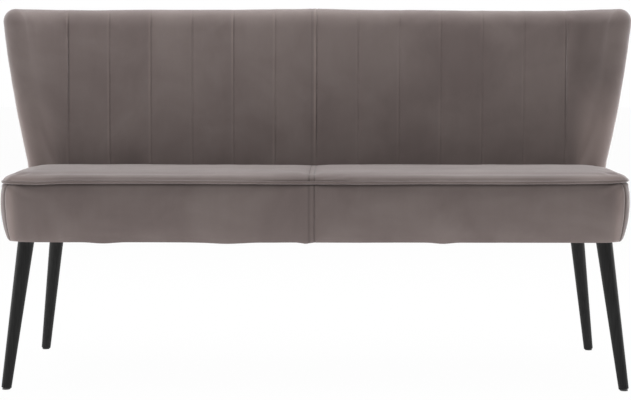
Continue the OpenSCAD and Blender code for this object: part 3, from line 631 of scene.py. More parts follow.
class SOFA_OT_stage(Operator):
    """Places the camera, the floor and the soft studio light"""

    bl_idname = "sofa.stage"
    bl_label = "Stage"

    def execute(self, context):
        stage = context.scene.sofa_stage
        data = bpy.data.cameras.new("camera")
        camera = bpy.data.objects.new("camera", data)
        context.scene.collection.objects.link(camera)
        camera.location = (stage.camera_side, -stage.camera_distance, stage.camera_height)
        camera.rotation_euler = (math.pi / 2 - stage.camera_tilt, 0, stage.camera_pan)
        data.sensor_width = 36
        data.lens = stage.lens
        context.scene.camera = camera
        context.scene.view_settings.view_transform = "Standard"
        self.add_floor(stage.floor_glow)
        self.add_lights(stage)
        self.set_world(context.scene, stage.world)
        return {"FINISHED"}

    def add_floor(self, strength):
        """A matt floor that glows softly on the sofa and looks nearly white, but for the sofa's shadow."""
        select_none()
        bpy.ops.mesh.primitive_plane_add(size=40, location=(0, 0, 0))
        floor = bpy.context.object
        floor.name = "floor"
        made = bpy.data.materials.new("pale_floor")
        made.use_nodes = True
        tree = made.node_tree
        tree.nodes.clear()
        seen = add_node(tree, "LightPath").outputs["Is Camera Ray"]
        whiteness = add_node(tree, "Math", {0: seen, 1: 0.98}, operation="MULTIPLY")
        unseen = add_node(tree, "Math", {0: seen, 1: -strength, 2: strength}, operation="MULTIPLY_ADD")
        matt = add_node(tree, "BsdfDiffuse", {"Color": (0.8, 0.8, 0.8, 1)})
        glow = add_node(tree, "Emission", {"Color": WHITE, "Strength": unseen})
        lit = add_node(tree, "AddShader", {0: matt, 1: glow})
        white = add_node(tree, "Emission", {"Color": WHITE})
        mix = add_node(tree, "MixShader", {0: whiteness, 1: lit, 2: white})
        add_node(tree, "OutputMaterial", {"Surface": mix})
        floor.data.materials.append(made)

    def add_lights(self, stage):
        panels = (
            ("overhead_front", (0, -0.35, 2.3), (0, 0, 0), (3.2, 1.6), stage.key_power),
            ("overhead_rear", (0, 0.75, 2.3), (-15, 0, 0), (3.2, 1.2), stage.key_power),
            ("rim_left", (-2.5, 1.0, 0.9), (90, 0, -115), (1.4, 1.6), 0.8 * stage.rim_power),
            ("rim_right", (2.5, 1.0, 0.9), (90, 0, 115), (1.4, 1.6), 1.3 * stage.rim_power),
            ("side_left", (-2.0, -0.25, 0.35), (0, -90, 0), (0.5, 1.2), 1.6 * stage.side_power),
            ("side_right", (2.0, -0.25, 0.35), (0, 90, 0), (0.5, 1.2), 0.8 * stage.side_power),
            ("front_left", (-2.6, -3.6, 1.9), (66, 0, -36), (1.8, 1.8), 1.7 * stage.front_power),
            ("front_right", (2.6, -3.6, 1.9), (66, 0, 36), (1.8, 1.8), 0.3 * stage.front_power),
        )
        for name, place, turn, size, power in panels:
            data = bpy.data.lights.new(name, "AREA")
            data.shape = "RECTANGLE"
            data.size, data.size_y = size
            data.energy = power
            panel = bpy.data.objects.new(name, data)
            panel.location = place
            panel.rotation_euler = [math.radians(angle) for angle in turn]
            panel.visible_camera = False
            bpy.context.scene.collection.objects.link(panel)

    def set_world(self, scene, strength):
        scene.world = scene.world or bpy.data.worlds.new("room")
        scene.world.use_nodes = True
        tree = scene.world.node_tree
        tree.nodes.clear()
        room = add_node(tree, "Background", {"Color": WHITE, "Strength": strength})
        backdrop = add_node(tree, "Background", {"Color": WHITE})
        rays = add_node(tree, "LightPath").outputs
        sockets = {0: rays["Is Camera Ray"], 1: rays["Is Glossy Ray"]}
        seen = add_node(tree, "Math", sockets, operation="MAXIMUM")
        mix = add_node(tree, "MixShader", {0: seen, 1: room, 2: backdrop})
        add_node(tree, "OutputWorld", {"Surface": mix})


class SOFA_OT_finishes(Operator):
    """Makes the sofa's materials"""

    bl_idname = "sofa.finishes"
    bl_label = "Finishes"

    def execute(self, context):
        finishes = context.scene.sofa_finishes
        half_dust = [c * 0.5 for c in finishes.dust]
        FINISHES.update({
            "velvet": velvet_finish(finishes),
            "thread": porous_finish(
                "velvet_thread", (0.15, 0.125, 0.12), (0.08, 0.065, 0.06), 2500.0, 0.7, 0.0002
            ),
            "black_wood": lacquer_finish(finishes),
            "timber": timber_finish(finishes),
            "steel": steel_finish(),
            "foam": porous_finish("seat_foam", (0.78, 0.70, 0.45), (0.60, 0.50, 0.28), 700.0),
            "felt": porous_finish("grey_felt", (0.30, 0.29, 0.28), (0.14, 0.14, 0.15), 420.0),
            "liner_board": porous_finish(
                "brown_board", (0.34, 0.22, 0.12), (0.26, 0.16, 0.08), 300.0, 0.7, 0.0004
            ),
            "glide_plastic": porous_finish(
                "black_plastic", (0.02, 0.02, 0.02), (0.015, 0.015, 0.015), 500.0, 0.5, 0.0002
            ),
            "webbing": woven_finish("black_webbing", (0.03, 0.03, 0.03), (0.012, 0.012, 0.012), 0.004),
            "dust_cloth": woven_finish("black_dust_cloth", finishes.dust, half_dust, 0.0015),
        })
        return {"FINISHED"}


class SOFA_OT_back_covers(Operator):
    """Sews and pads the two halves of the channelled back with their wings and rolled crest"""

    bl_idname = "sofa.back_covers"
    bl_label = "Back covers"

    column_step = 0.0075
    level_count, tucked_levels = 73, 5
    roll_steps, corner_steps = 18, 8
    wing_angles = (0.8, 1.8, 3.2, 5, 7.5, 10.5, 14, 18, 22, 26, 30, 34, 38, 42, 46, 50)
    seam_size, gathers = (0.0014, 0.0016), (0.0007, 0.011)
    low_end_drop, low_end_height, low_end_reach = 0.007, 0.011, 0.012
    # Place and width of the painted highlight beside each seam, and how far the painted shade in the crevice
    # above the seat reaches up
    brushed_place, brushed_width = 0.0042, 0.0024
    tuck_reach = 0.03

    def execute(self, context):
        for side, name in HALVES:
            self.make_half(context.scene.sofa_back, context.scene.sofa_seat, side, name)
        return {"FINISHED"}

    def columns(self, back):
        """Shares of the field and angles round the wing for each column."""
        width = field_half(back) / back.channels
        one = seam_spacing(width, self.column_step)[:-1] / width
        field = np.concatenate([(k + one) / back.channels for k in range(back.channels)] + [[1.0]])
        return stations(field, np.radians(np.array(self.wing_angles) * math.degrees(back.turn) / 50))

    def levels(self, back):
        """Heights of the rows, and how many of them are tucked in below the seat line."""
        tuck = np.linspace(FELT_TOP, SEAT_LINE, self.tucked_levels + 1)[:-1]
        return np.concatenate([tuck, SEAT_LINE + np.linspace(0, back.rise, self.level_count)]), len(tuck)

    def build(self, back, depth, inset):
        """Points, faces, and each point's column, turn over the roll, level and whether it is sewn."""
        shares, angles = self.columns(back)
        levels, foot = self.levels(back)
        cols, rows = len(shares), len(levels)
        top, last, steps, turns = rows - 1, cols - 1, self.roll_steps, self.corner_steps
        face = back_point(back, shares[None, :], angles[None, :], levels[:, None], depth).reshape(-1, 3)
        parts = [(face, np.tile(np.arange(cols), rows), np.zeros(cols * rows), np.repeat(levels, cols))]
        # The roll runs along the crest, turns the upper corner and comes down the wing's edge
        ends = list(range(cols)) + [last] * (turns + top - foot)
        at = [top] * (cols + turns) + list(range(top - 1, foot - 1, -1))
        corner = [math.pi / 2] * cols + [math.pi / 2 * (1 - k / turns) for k in range(1, turns + 1)]
        corner += [0.0] * (top - foot)
        radius = back.thickness / 2 - inset
        height = back.crest - inset
        nose = back.thickness / 2
        low_z = SEAT_LINE + 0.75 * back.rise
        backwards, outwards = back_axes(angles)
        lean = back_point(back, shares, angles, levels[top], nose)
        lean -= back_point(back, shares, angles, low_z, nose)
        lean /= levels[top] - low_z
        phi = math.pi * np.arange(1, steps + 1) / steps
        ids = np.zeros((len(ends), steps + 1), int)
        ids[:, 0] = np.array(at) * cols + ends
        total = cols * rows
        for p, (col, row, turned) in enumerate(zip(ends, at, corner)):
            centre = back_point(back, shares[col], angles[col], levels[row], nose)
            out = math.cos(turned) * radius * outwards[col] + math.sin(turned) * height * lean[col]
            ring = centre - np.cos(phi)[:, None] * radius * backwards[col] + np.sin(phi)[:, None] * out
            pole = last < p <= last + turns
            keep = steps - 1 if pole else steps
            parts.append((ring[:keep], np.full(keep, col), phi[:keep], np.full(keep, levels[row])))
            ids[p, 1 : keep + 1] = total + np.arange(keep)
            if pole:
                ids[p, steps] = ids[last, steps]
            total += keep
        faces = grid_faces(cols, rows)
        for p in range(len(ends) - 1):
            for q in range(steps):
                corners = [ids[p, q], ids[p + 1, q], ids[p + 1, q + 1], ids[p, q + 1]]
                distinct = tuple(int(c) for c in dict.fromkeys(corners))
                if len(distinct) > 2:
                    faces.append(distinct)
        sewn = np.zeros(total, bool)
        sewn[ids[:, steps]] = True
        sewn[ids[-1, :]] = True
        sewn[ids[last + 1 : last + turns + 1, :].ravel()] = True
        points, column, roll, level = (np.concatenate(part) for part in zip(*parts))
        return points, faces, column, roll, level, sewn

    def make_half(self, back, seat, side, name):
        points, faces, column, roll, level, sewn = self.build(back, 0.0, 0.0)
        inner = self.build(back, back.cover, back.cover)[0]
        shares, angles = self.columns(back)
        levels, foot = self.levels(back)
        width = field_half(back) / back.channels
        along = shares[column] * back.channels
        from_seam = (along - np.round(along)) * width
        on_wing = angles[column] > 0
        above = level - SEAT_LINE
        rise = clamp(above / back.rise)
        radius = back.low_radius + (back.high_radius - back.low_radius) * rise
        distance = np.where(on_wing, angles[column] * radius, np.abs(from_seam))
        sewn |= (distance < 1e-6) | (above <= 1e-6)
        topstitch = np.full(len(points), FAR)
        if side == LEFT:
            topstitch = np.abs(along * width - seat.topstitch)
            sewn |= (topstitch < ON_STITCHES) & ~on_wing
        sheet = new_sheet("channelled_back_" + name, points, faces, side)
        rest = read_points(sheet)
        blow_up(sheet, sewn, back.crown)
        fade = np.cos(roll / 2) ** 4 * clamp(rise / 0.16) ** 0.5
        points = rest + (read_points(sheet) - rest) * fade[:, None]
        points[:, 2] += np.interp(points[:, 0], *zip(*CREST_LINE)) * np.sin(roll)
        low_end = (roll > 0) * clamp(1 - above / self.low_end_height)
        past_seat = np.abs(points[:, 0]) - FRAME_HALF - seat.border_top - seat.piping
        points[:, 2] -= self.low_end_drop * low_end * clamp(past_seat / self.low_end_reach)
        write_points(sheet, points)
        middle = along * width + FAR * on_wing < width / 2
        over = np.where(middle, 1, np.clip(1.15 - roll, 0, 1))
        sew(sheet, distance, topstitch, self.seam_size, self.gathers, 1 if side == LEFT else 2, over)
        if side == LEFT:
            cols, rows = len(shares), len(levels)
            face = np.arange(foot + 1, rows) * cols + STITCH_COLUMN
            crest = cols * rows + STITCH_COLUMN * self.roll_steps + np.arange(self.roll_steps * 2 // 3)
            keep_stitch_line("back", sheet, np.concatenate([face, crest]))
        # Painted shade in the seams and along the topstitching, and a painted highlight beside each seam,
        # uneven in strength, strongest at the middle seam and weakest on the right half
        worn = np.clip(0.55 + 0.9 * unevenness(read_points(sheet), 7.0, 61), 0.1, 1)
        worn *= np.where(middle, 1.3, 0.75 if side == LEFT else 0.4)
        crushed = bell(distance, CRUSHED_WIDTH) * over * worn + 0.5 * bell(topstitch, CRUSHED_WIDTH)
        beside = side * np.where(on_wing, distance, from_seam) + self.brushed_place
        brushed = 0.75 * bell(beside, self.brushed_width) * over * worn
        # Painted highlight along the wing's edge and over its lower part; painted shade in the crevice above
        # the seat, towards the right of the back and over the upper part of the right wing
        edge = (column == len(shares) - 1) * clamp((np.degrees(roll) - 58) / 50) * (roll < 3)
        turned = angles[column] / back.turn
        on_face = clamp(1 - roll / 1.4)
        tucked = 0.30 * np.exp(-np.maximum(above, 0) / self.tuck_reach) * clamp(1 - 1.4 * turned)
        lying = 0.3 * clamp(0.45 + rest[:, 0]) * on_face
        if side == RIGHT:
            lying += 0.45 * clamp(turned * (1.2 - turned) / 0.3) * clamp((rise - 0.42) / 0.3) * on_face
        low_wing = clamp((turned - 0.25) / 0.6) * clamp((0.62 - rise) / 0.35) * (roll < 1.6)
        low_wing *= 1 if side == RIGHT else 0.4
        crushed = np.maximum(np.maximum(crushed, tucked), lying)
        brushed = np.maximum(np.maximum(brushed, edge * clamp((0.78 - rise) / 0.5)), low_wing)
        mark_pile(sheet, crushed, brushed)
        finish_pad(sheet, inner, side, "back_cover_" + name, 0.8)


class SOFA_OT_outer_covers(Operator):
    """Stretches the plain cover over the rear of the back"""

    bl_idname = "sofa.outer_covers"
    bl_label = "Outer back covers"

    column_step, level_count = 0.011, 37
    swell, pressure = 0.0022, 1.5
    seam_size, gathers = (0.0014, 0.0018), (0.0004, 0.012)

    def execute(self, context):
        back = context.scene.sofa_back
        shares, angles = plain_stations(back, self.column_step)
        levels = SEAT_LINE + np.linspace(0, back.rise, self.level_count)
        cols, rows = len(shares), len(levels)
        faces = [tuple(reversed(f)) for f in grid_faces(cols, rows)]
        outer, inner = (
            back_point(back, shares[None, :], angles[None, :], levels[:, None], depth)
            for depth in (back.thickness, LINER_DEPTH)
        )
        col, _, edge = grid_places(cols, rows)
        distance = shares[col] * field_half(back) + FAR * (angles[col] > 0)
        for side, name in HALVES:
            sheet = new_sheet("outer_back_" + name, outer, faces, side)
            blow_up(sheet, edge, self.swell, self.pressure)
            press_seam(sheet, distance, *self.seam_size)
            pucker(sheet, distance, *self.gathers, 5 if side == LEFT else 6)
            # Painted shade in the seam
            mark_pile(sheet, bell(distance, CRUSHED_WIDTH))
            finish_pad(sheet, inner, side, "outer_cover_" + name, 0.3)
        return {"FINISHED"}


class SOFA_OT_seat_covers(Operator):
    """Pads the two halves of the crowned seat"""

    bl_idname = "sofa.seat_covers"
    bl_label = "Seat covers"

    column_step = 0.009
    near_front = (0, 0.0015, 0.004, 0.008, 0.0135, 0.021, 0.031, 0.044, 0.06, 0.08)
    nose_steps = 14
    gap = 0.0003
    fall_start, fall_power = 0.4, 1.5
    dip_reach, sway_reach, flank_reach = 0.008, 0.025, 0.08
    # Reach of the painted highlight along the seat from its end and in from its edge
    brushed_x, brushed_edge = 0.11, 0.02
    swell, gathers = 0.003, (0.0005, 0.012)

    def execute(self, context):
        for side, name in HALVES:
            self.make_half(context.scene.sofa_back, context.scene.sofa_seat, side, name)
        return {"FINISHED"}

    def rear_line(self, back, edge_x, z):
        """The seat's rear edge at a height: along the face of the back and round the wing's rolled edge."""
        shares, angles = plain_stations(back, self.column_step)
        flat = back_point(back, shares, angles, z, -self.gap)
        nose = back.thickness / 2
        middle = back_point(back, 1.0, back.turn, z, nose)
        end = back.turn + math.asin((edge_x - middle[0]) / (nose + self.gap))
        turned = end * np.arange(1, self.nose_steps + 1)[:, None] / self.nose_steps
        backwards, outwards = (v[0] for v in back_axes(np.array([back.turn])))
        around = middle + (nose + self.gap) * (np.sin(turned) * outwards - np.cos(turned) * backwards)
        return np.vstack([flat, around])

    def make_half(self, back, seat, side, name):
        shares, angles = plain_stations(back, self.column_step)
        edge_x = FRAME_HALF + seat.border_top
        edge_y = FRAME_FRONT - seat.border_top
        edge_r = seat.corner + seat.border_top
        at_line = self.rear_line(back, edge_x, SEAT_LINE)
        quarter = math.pi / 2 * np.arange(1, self.nose_steps + 1) / self.nose_steps
        corner_x = edge_x + edge_r * (np.sin(quarter) - 1)
        corner = np.stack([corner_x, edge_y + edge_r * (1 - np.cos(quarter))], -1)
        front = np.vstack([np.stack([at_line[: len(shares), 0], np.full(len(shares), edge_y)], -1), corner])
        steps = np.concatenate([self.near_front, np.linspace(0.1, 1, 46)])
        cols, rows = len(front), len(steps)
        low = np.zeros((rows, cols, 3))
        low[..., :2] = front + (at_line[:, :2] - front) * steps[:, None, None]
        x, y = low[..., 0], low[..., 1]
        beyond_x = np.maximum(x - (edge_x - edge_r), 0)
        beyond_y = np.maximum(edge_y + edge_r - y, 0)
        in_corner = edge_r - np.hypot(beyond_x, beyond_y)
        to_edge = np.where(beyond_x + beyond_y > 0, in_corner, np.minimum(edge_x - x, y - edge_y))
        fallen = np.maximum(to_edge, 0)
        low[..., 2] = SEAT_LINE - seat.dip * np.exp(-fallen / self.dip_reach)
        # The crown rises steeper at the ends of the seat, and falls towards the back
        flank = clamp(0.5 + ((y - edge_y) - (edge_x - x)) / self.flank_reach)
        inside = clamp(to_edge / (seat.roll * (1 - 0.18 * flank)))
        tuck = np.maximum(0, steps - self.fall_start)[:, None] / (1 - self.fall_start)
        height = seat.crown - seat.rear_fall * tuck**self.fall_power
        top = low.copy()
        top[..., 2] += seat.edge + height * (1 - (1 - inside) ** 2) ** (0.54 - 0.14 * flank)
        lean = self.rear_line(back, edge_x, SEAT_LINE + seat.edge + seat.crown) - at_line
        top[..., :2] += lean[None, :, :2] * steps[:, None, None]
        follow = sway(low, side) * np.exp(-fallen / self.sway_reach)
        top[..., 2] += follow
        low[..., 2] += follow
        sheet = new_sheet("seat_top_" + name, top, grid_faces(cols, rows), side)
        col, row, sewn = grid_places(cols, rows)
        across = np.where(col < np.count_nonzero(angles == 0), x.ravel(), FAR)
        topstitch = np.abs(across - seat.topstitch) if side == LEFT else np.full(len(across), FAR)
        blow_up(sheet, sewn | (topstitch < ON_STITCHES), self.swell)
        sew(sheet, across, topstitch, SEAM_SIZE, self.gathers, 8 if side == LEFT else 9)
        points = read_points(sheet)
        points[:, 2] = np.maximum(points[:, 2], low[..., 2].ravel() + seat.edge)
        write_points(sheet, points)
        if side == LEFT:
            line = np.flatnonzero((col == STITCH_COLUMN) & (row > 2) & (row < rows - 2))
            keep_stitch_line("seat", sheet, line)
        # Painted highlight on the rounded edge at the seat's end, and painted shade in the middle seam and
        # along the topstitching
        brushed = 0.9 * bell((edge_x - x).ravel(), self.brushed_x) * bell(to_edge.ravel(), self.brushed_edge)
        mark_pile(sheet, bell(np.minimum(across, topstitch), CRUSHED_WIDTH), brushed)
        finish_pad(sheet, low, side, "seat_cover_" + name, 0.8)


class SOFA_OT_borders(Operator):
    """Pads the seat's border: two front halves, two sides and the rear"""

    bl_idname = "sofa.borders"
    bl_label = "Seat border"

    row_step = 0.0048
    groove_depth, groove_width = 0.0050, 0.0027
    hem_tuck, hem_width = 0.0012, 0.0035
    hem_reach, lift_reach, sway_reach = 0.012, 0.028, 0.03
    end_draw, end_reach = 0.0062, 0.013
    seam_swing, swing_height, swing_reach = 0.011, 0.0075, 0.03
    # Width of the painted shade in the groove under the piping, and the place, width and fading start of the
    # painted highlight by the corner seam
    crushed_groove = 0.0018
    brushed_place, brushed_width, brushed_start = 0.012, 0.016, 0.02
    swell, gathers = 0.0025, (0.0005, 0.010)

    def execute(self, context):
        seat = context.scene.sofa_seat
        corner_x = FRAME_HALF - seat.corner
        front_y = FRAME_FRONT + seat.corner
        rear_y = FRAME_REAR - seat.corner

        def bend(x, y, start, stop):
            angle = np.radians(np.linspace(start, stop, 11))
            return np.stack([x + seat.corner * np.cos(angle), y + seat.corner * np.sin(angle), angle], -1)

        def straight(x, y, facing):
            return np.stack(np.broadcast_arrays(x, y, facing), -1).astype(float)

        lead = bend(corner_x, front_y, -90, -45)
        run = seam_spacing(corner_x, 0.009, ends=1)[:-1]
        front = np.vstack([straight(run, FRAME_FRONT, -math.pi / 2), lead])
        flank = straight(FRAME_HALF, np.linspace(front_y, rear_y, 46)[1:-1], 0.0)
        sides = np.vstack([bend(corner_x, front_y, -45, 0), flank, bend(corner_x, rear_y, 0, 45)])
        behind = straight(np.linspace(corner_x, -corner_x, 130)[1:-1], FRAME_REAR, math.pi / 2)
        rear = np.vstack([bend(corner_x, rear_y, 45, 90), behind, bend(-corner_x, rear_y, 90, 135)])
        for side, name in HALVES:
            self.make_panel(seat, "front_border_" + name, front, side, "border_front_" + name, True)
            self.make_panel(seat, "side_border_" + name, sides, side, "border_side_" + name, False, lead[:-1])
        self.make_panel(seat, "rear_border", rear, RIGHT, "border_rear", False)
        return {"FINISHED"}

    def hem(self, outline, node, side):
        """Rise of the lower edge along a panel: drawn up at the corners, and sagging in places in front."""
        x, y = outline[:, 0], outline[:, 1]
        rise = np.zeros(len(outline))
        for corner in ((FRAME_HALF, FRAME_FRONT), (FRAME_HALF, FRAME_REAR), (-FRAME_HALF, FRAME_REAR)):
            rise += HEM_LIFT * bell(np.hypot(x - corner[0], y - corner[1]), self.lift_reach)
        if node.startswith("border_front"):
            for place, reach in HEM_DROPS:
                rise -= HEM_DROP * bell(x * side - place, reach)
        return rise

    def swing(self, outline, lead, middle_seam, from_top):
        """Outline at each level: the front corner's seam starts further in and swings out lower down."""
        line = outline if lead is None else np.vstack([lead, outline])
        along = run_along(line[:, :2])
        run = along[len(line) - len(outline) :]
        from_seam = run[-1] - run if middle_seam else run - run[0]
        fading = np.exp(-from_top / self.swing_height)[:, None]
        shift = self.seam_swing * fading * bell(from_seam, self.swing_reach)
        if lead is None and not middle_seam:
            shift = np.zeros_like(shift)
        return np.stack([np.interp(run - shift, along, line[:, k]) for k in range(3)], -1)

    def make_panel(self, seat, name, outline, side, node, middle_seam, lead=None):
        low_z = UNDERSIDE - seat.border_drop
        top_z = SEAT_LINE - seat.piping_drop - 0.5 * seat.piping
        up = seam_spacing(top_z - low_z, self.row_step)
        from_top = up[-1] - up
        shares = up / up[-1]
        thick = seat.border_low + (seat.border_top - seat.border_low) * shares
        thick += seat.border_bulge * np.sin(np.pi * shares) ** 0.7
        groove = self.groove_depth * bell(from_top, self.groove_width)
        thick -= groove + self.hem_tuck * bell(up, self.hem_width)
        cols, rows = len(outline), len(shares)
        around = self.swing(outline, lead, middle_seam, from_top)
        facing = np.stack([np.cos(around[..., 2]), np.sin(around[..., 2])], -1)
        inner = around.copy()
        hem = self.hem(outline, node, side) * np.exp(-up / self.hem_reach)[:, None]
        inner[..., 2] = low_z + up[:, None] + hem
        inner[..., 2] += sway(inner, side) * np.exp(-from_top / self.sway_reach)[:, None]
        run = run_along(outline[:, :2])
        ends = self.end_draw * bell(run[-1] - run, self.end_reach)
        if not middle_seam:
            ends += self.end_draw * bell(run, self.end_reach)
        full = np.sin(np.pi * np.clip(shares, 0.02, 0.98))[:, None] ** 0.5
        outer = inner.copy()
        outer[..., :2] += (thick[:, None] - full * ends)[..., None] * facing
        outer[..., 0] += seat.flank * full * np.sign(facing[..., 0]) * np.abs(facing[..., 0]) ** 0.5
        sheet = new_sheet(name, outer, grid_faces(cols, rows), side)
        col, row, sewn = grid_places(cols, rows)
        path = run_along(outer[rows // 2, :, :2])
        start, stop = path[col], path[-1] - path[col]
        topstitch = np.full(len(col), FAR)
        if middle_seam and side == LEFT:
            topstitch = np.abs(start - seat.topstitch)
        blow_up(sheet, sewn | (topstitch < ON_STITCHES), self.swell)
        to_seam = np.minimum(start, stop)
        sew(sheet, to_seam, topstitch, SEAM_SIZE, self.gathers, 11 + len(name) + side)
        if middle_seam and side == LEFT:
            keep_stitch_line("front", sheet, np.flatnonzero((col == STITCH_COLUMN) & (row > 3)))
        # Painted shade in the groove under the piping, in the seams and along the topstitching, and on the
        # front halves a painted highlight on the rounded edge by the corner seam, fading towards the piping
        in_groove = bell(from_top[row], self.crushed_groove)
        crushed = 0.6 * bell(np.minimum(to_seam, topstitch), CRUSHED_WIDTH) + 0.9 * in_groove
        brushed = np.zeros(len(stop))
        if middle_seam:
            brushed = 0.9 * bell(stop - self.brushed_place, self.brushed_width)
        mark_pile(sheet, crushed, brushed * clamp(from_top[row] / self.brushed_start))
        finish_pad(sheet, inner, side, node, 0.7)


class SOFA_OT_piping(Operator):
    """Runs the covered piping round the seat"""

    bl_idname = "sofa.piping"
    bl_label = "Piping"

    long_steps, short_steps, corner_steps = 160, 48, 8
    merge_distance = 0.0002
    from_stitches, gathers = 0.004, (0.0005, 0.01)

    def execute(self, context):
        seat = context.scene.sofa_seat
        corner_x = FRAME_HALF - seat.corner
        front_y = FRAME_FRONT + seat.corner
        rear_y = FRAME_REAR - seat.corner
        start = (-corner_x, front_y - seat.corner - seat.border_top, SEAT_LINE - seat.piping_drop)
        select_none()
        bpy.ops.mesh.primitive_circle_add(
            vertices=16, radius=seat.piping, location=start, rotation=(0, math.pi / 2, 0)
        )
        piping = place_piece("seat_welt")
        edit()
        runs = (
            (1, 0, 2 * corner_x, self.long_steps, (corner_x, front_y)),
            (0, 1, rear_y - front_y, self.short_steps, (corner_x, rear_y)),
            (-1, 0, 2 * corner_x, self.long_steps, (-corner_x, rear_y)),
            (0, -1, rear_y - front_y, self.short_steps, (-corner_x, front_y)),
        )
        for dx, dy, run, count, centre in runs:
            step = (dx * run / count, dy * run / count, 0)
            for _ in range(count):
                bpy.ops.mesh.extrude_region_move(TRANSFORM_OT_translate={"value": step})
            turn = {"steps": self.corner_steps, "angle": -math.pi / 2, "axis": (0, 0, 1)}
            bpy.ops.mesh.spin(center=(*centre, start[2]), **turn)
        bpy.ops.mesh.select_all(action="SELECT")
        bpy.ops.mesh.remove_doubles(threshold=self.merge_distance)
        bpy.ops.mesh.normals_make_consistent(inside=False)
        end_edit()
        points = read_points(piping)
        pucker(piping, np.full(len(points), self.from_stitches), *self.gathers, 21)
        points = read_points(piping)
        points[:, 2] += sway(points)
        write_points(piping, points)
        make_active(piping)
        bpy.ops.object.shade_smooth()
        dress(piping, "velvet", "velvet", "seat_piping")
        return {"FINISHED"}


def sag_below(points, to_edge):
    """How far the dust cover hangs down at points that lie some distance inside its edge."""
    share = np.minimum(to_edge / SAG_REACH, 1)
    uneven = unevenness(points * np.array([1.0, 1.0, 0.0]), 6.0, 31) * 0.5 + 0.6
    return SAG * share * (2 - share) * np.clip(uneven, 0.1, 1.2)


class SOFA_OT_dust_cover(Operator):
    """Hangs the thin dust cover under the frame, cut out round the leg plates"""

    bl_idname = "sofa.dust_cover"
    bl_label = "Dust cover"

    cut_margin = 0.004
    lift, thickness = 0.0005, 0.0006

    def execute(self, context):
        low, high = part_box("dust_cover")
        corners = [f"{end}_{side}" for end in ("front", "rear") for side in ("left", "right")]
        plates = [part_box("leg_plate_" + corner) for corner in corners]
        select_none()
        bpy.ops.mesh.primitive_grid_add(x_subdivisions=180, y_subdivisions=66, size=1)
        cloth = bpy.context.object
        cloth.name = "dust_cloth_panel"
        points = read_points(cloth)
        middle = (low + high) / 2
        points[:, 0] = middle.x + points[:, 0] * (high.x - low.x)
        points[:, 1] = middle.y + points[:, 1] * (high.y - low.y)
        points[:, 2] = low.z + self.lift
        write_points(cloth, points)
        edit("DESELECT")
        end_edit()
        gap = self.cut_margin
        for face in cloth.data.polygons:
            c = face.center
            face.select = any(a.x - gap < c.x < b.x + gap and a.y - gap < c.y < b.y + gap for a, b in plates)
        bpy.ops.object.mode_set(mode="EDIT")
        bpy.ops.mesh.select_mode(type="FACE")
        bpy.ops.mesh.delete(type="FACE")
        end_edit()
        points = read_points(cloth)
        x, y = points[:, 0], points[:, 1]
        to_edge = np.minimum(np.minimum(x - low.x, high.x - x), np.minimum(y - low.y, high.y - y))
        points[:, 2] -= sag_below(points, to_edge)
        write_points(cloth, points)
        thick = cloth.modifiers.new("Thickness", "SOLIDIFY")
        thick.thickness = self.thickness
        make_active(cloth)
        bpy.ops.object.modifier_apply(modifier=thick.name)
        bpy.ops.object.shade_smooth_by_angle(angle=math.radians(40))
        dress(cloth, "dust_cloth", "dust_cloth", "dust_cover")
        return {"FINISHED"}


class SOFA_OT_topstitching(Operator):
    """Sews the row of stitches beside the middle seam, over the back, the seat and the front border"""

    bl_idname = "sofa.topstitching"
    bl_label = "Topstitching"

    pitch, radius = 0.0052, 0.0005
    stretch = (3.8, 1, 0.8)

    def execute(self, context):
        select_none()
        bpy.ops.mesh.primitive_uv_sphere_add(
            segments=6, ring_count=5, radius=self.radius, rotation=(0, math.pi / 2, 0)
        )
        stitch = place_piece("topstitch")
        edit()
        bpy.ops.transform.resize(value=self.stretch)
        end_edit()
        bpy.ops.object.shade_smooth()
        places = []
        for line in STITCH_LINES.values():
            run = run_along(line[0])
            at = np.arange(self.pitch / 2, run[-1] - self.pitch / 2, self.pitch)
            spots, ups = (np.stack([np.interp(at, run, part[:, k]) for k in range(3)], -1) for part in line)
            along = np.gradient(spots, axis=0)
            along /= np.linalg.norm(along, axis=1, keepdims=True)
            places += list(zip(spots, along, ups))
        dress(lay_copies(stitch, places), "thread", "velvet")
        return {"FINISHED"}


class SOFA_OT_staples(Operator):
    """Drives staples along the edge of the dust cover"""

    bl_idname = "sofa.staples"
    bl_label = "Staples"

    spacing, inset = 0.042, 0.007
    millimetre, size_in_millimetres, bevel = 0.001, (10, 1.2, 0.5), 0.00018
    lean = math.radians(12)

    def execute(self, context):
        low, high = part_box("dust_cover")
        select_none()
        bpy.ops.mesh.primitive_cube_add(size=self.millimetre)
        staple = bpy.context.object
        staple.name = "staple"
        edit()
        bpy.ops.transform.resize(value=self.size_in_millimetres)
        bpy.ops.mesh.bevel(offset=self.bevel, segments=1)
        end_edit()
        middle = (low + high) / 2
        half = (high - low) / 2
        down = np.array([0, 0, -1.0])
        places = []
        for axis, other in ((0, 1), (1, 0)):
            count = round(2 * half[axis] / self.spacing)
            for edge in (-1, 1):
                for k in range(1, count):
                    point = np.zeros(3)
                    point[axis] = middle[axis] - half[axis] + 2 * half[axis] * k / count
                    point[other] = middle[other] + edge * (half[other] - self.inset)
                    point[2] = low.z - sag_below(point[None], self.inset)[0]
                    lean = self.lean * math.sin(7 * k + edge + axis)
                    along = np.zeros(3)
                    along[axis], along[other] = math.cos(lean), math.sin(lean)
                    places.append((point, along, down))
        dress(lay_copies(staple, places), "steel", "steel")
        return {"FINISHED"}


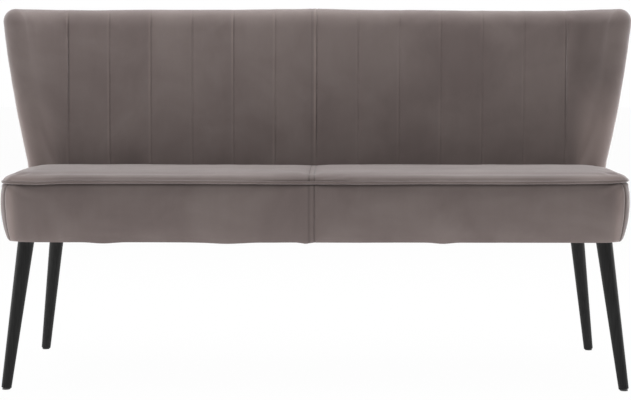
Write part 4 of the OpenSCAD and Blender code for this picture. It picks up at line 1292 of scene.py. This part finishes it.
class SOFA_OT_kept_solids(Operator):
    """Gives every solid that shows as it is its finish"""

    bl_idname = "sofa.kept_solids"
    bl_label = "Frame, legs and fittings"

    # The first finish with a word that a solid's name holds is the solid's
    words = {
        "felt": ("felt",),
        "webbing": ("webbing",),
        "liner_board": ("liner",),
        "glide_plastic": ("glide",),
        "foam": ("foam", "edge_roll"),
        "steel": ("springs", "clips", "bolts", "washers", "nuts", "screws", "plate"),
        "timber": ("rail", "block", "plinth", "posts", "shell"),
        "black_wood": ("leg",),
    }

    def execute(self, context):
        for name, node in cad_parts.items():
            if node.hide_render:
                continue
            fitting = [finish for finish, words in self.words.items() if any(word in name for word in words)]
            if not fitting:
                raise RuntimeError("no finish is given for the solid " + name)
            coat(node, fitting[0])
        return {"FINISHED"}


class SOFA_PT_panel(Panel):
    """Lists the steps that build the sofa"""

    bl_label = "Dining sofa"
    bl_idname = "SOFA_PT_panel"
    bl_space_type = "VIEW_3D"
    bl_region_type = "UI"
    bl_category = "Sofa"

    def draw(self, context):
        for step in STEPS:
            self.layout.operator(step.bl_idname)
        for group in GROUPS:
            box = self.layout.box()
            settings = getattr(context.scene, group)
            for key in settings.__annotations__:
                box.prop(settings, key)


STEPS = (
    SOFA_OT_stage,
    SOFA_OT_finishes,
    SOFA_OT_back_covers,
    SOFA_OT_outer_covers,
    SOFA_OT_seat_covers,
    SOFA_OT_borders,
    SOFA_OT_piping,
    SOFA_OT_dust_cover,
    SOFA_OT_topstitching,
    SOFA_OT_staples,
    SOFA_OT_kept_solids,
)
GROUPS = {
    "sofa_back": SofaBackSizes,
    "sofa_seat": SofaSeatSizes,
    "sofa_finishes": SofaFinishes,
    "sofa_stage": SofaStage,
}


def register():
    for made in (*GROUPS.values(), *STEPS, SOFA_PT_panel):
        bpy.utils.register_class(made)
    for key, group in GROUPS.items():
        setattr(bpy.types.Scene, key, PointerProperty(type=group))


def unregister():
    for key in GROUPS:
        delattr(bpy.types.Scene, key)
    for made in reversed((*GROUPS.values(), *STEPS, SOFA_PT_panel)):
        bpy.utils.unregister_class(made)


def main():
    """Builds the whole sofa in order."""
    register()
    bpy.ops.sofa.stage()
    bpy.ops.sofa.finishes()
    bpy.ops.sofa.back_covers()
    bpy.ops.sofa.outer_covers()
    bpy.ops.sofa.seat_covers()
    bpy.ops.sofa.borders()
    bpy.ops.sofa.piping()
    bpy.ops.sofa.dust_cover()
    bpy.ops.sofa.topstitching()
    bpy.ops.sofa.staples()
    bpy.ops.sofa.kept_solids()


if __name__ == "__main__":
    main()
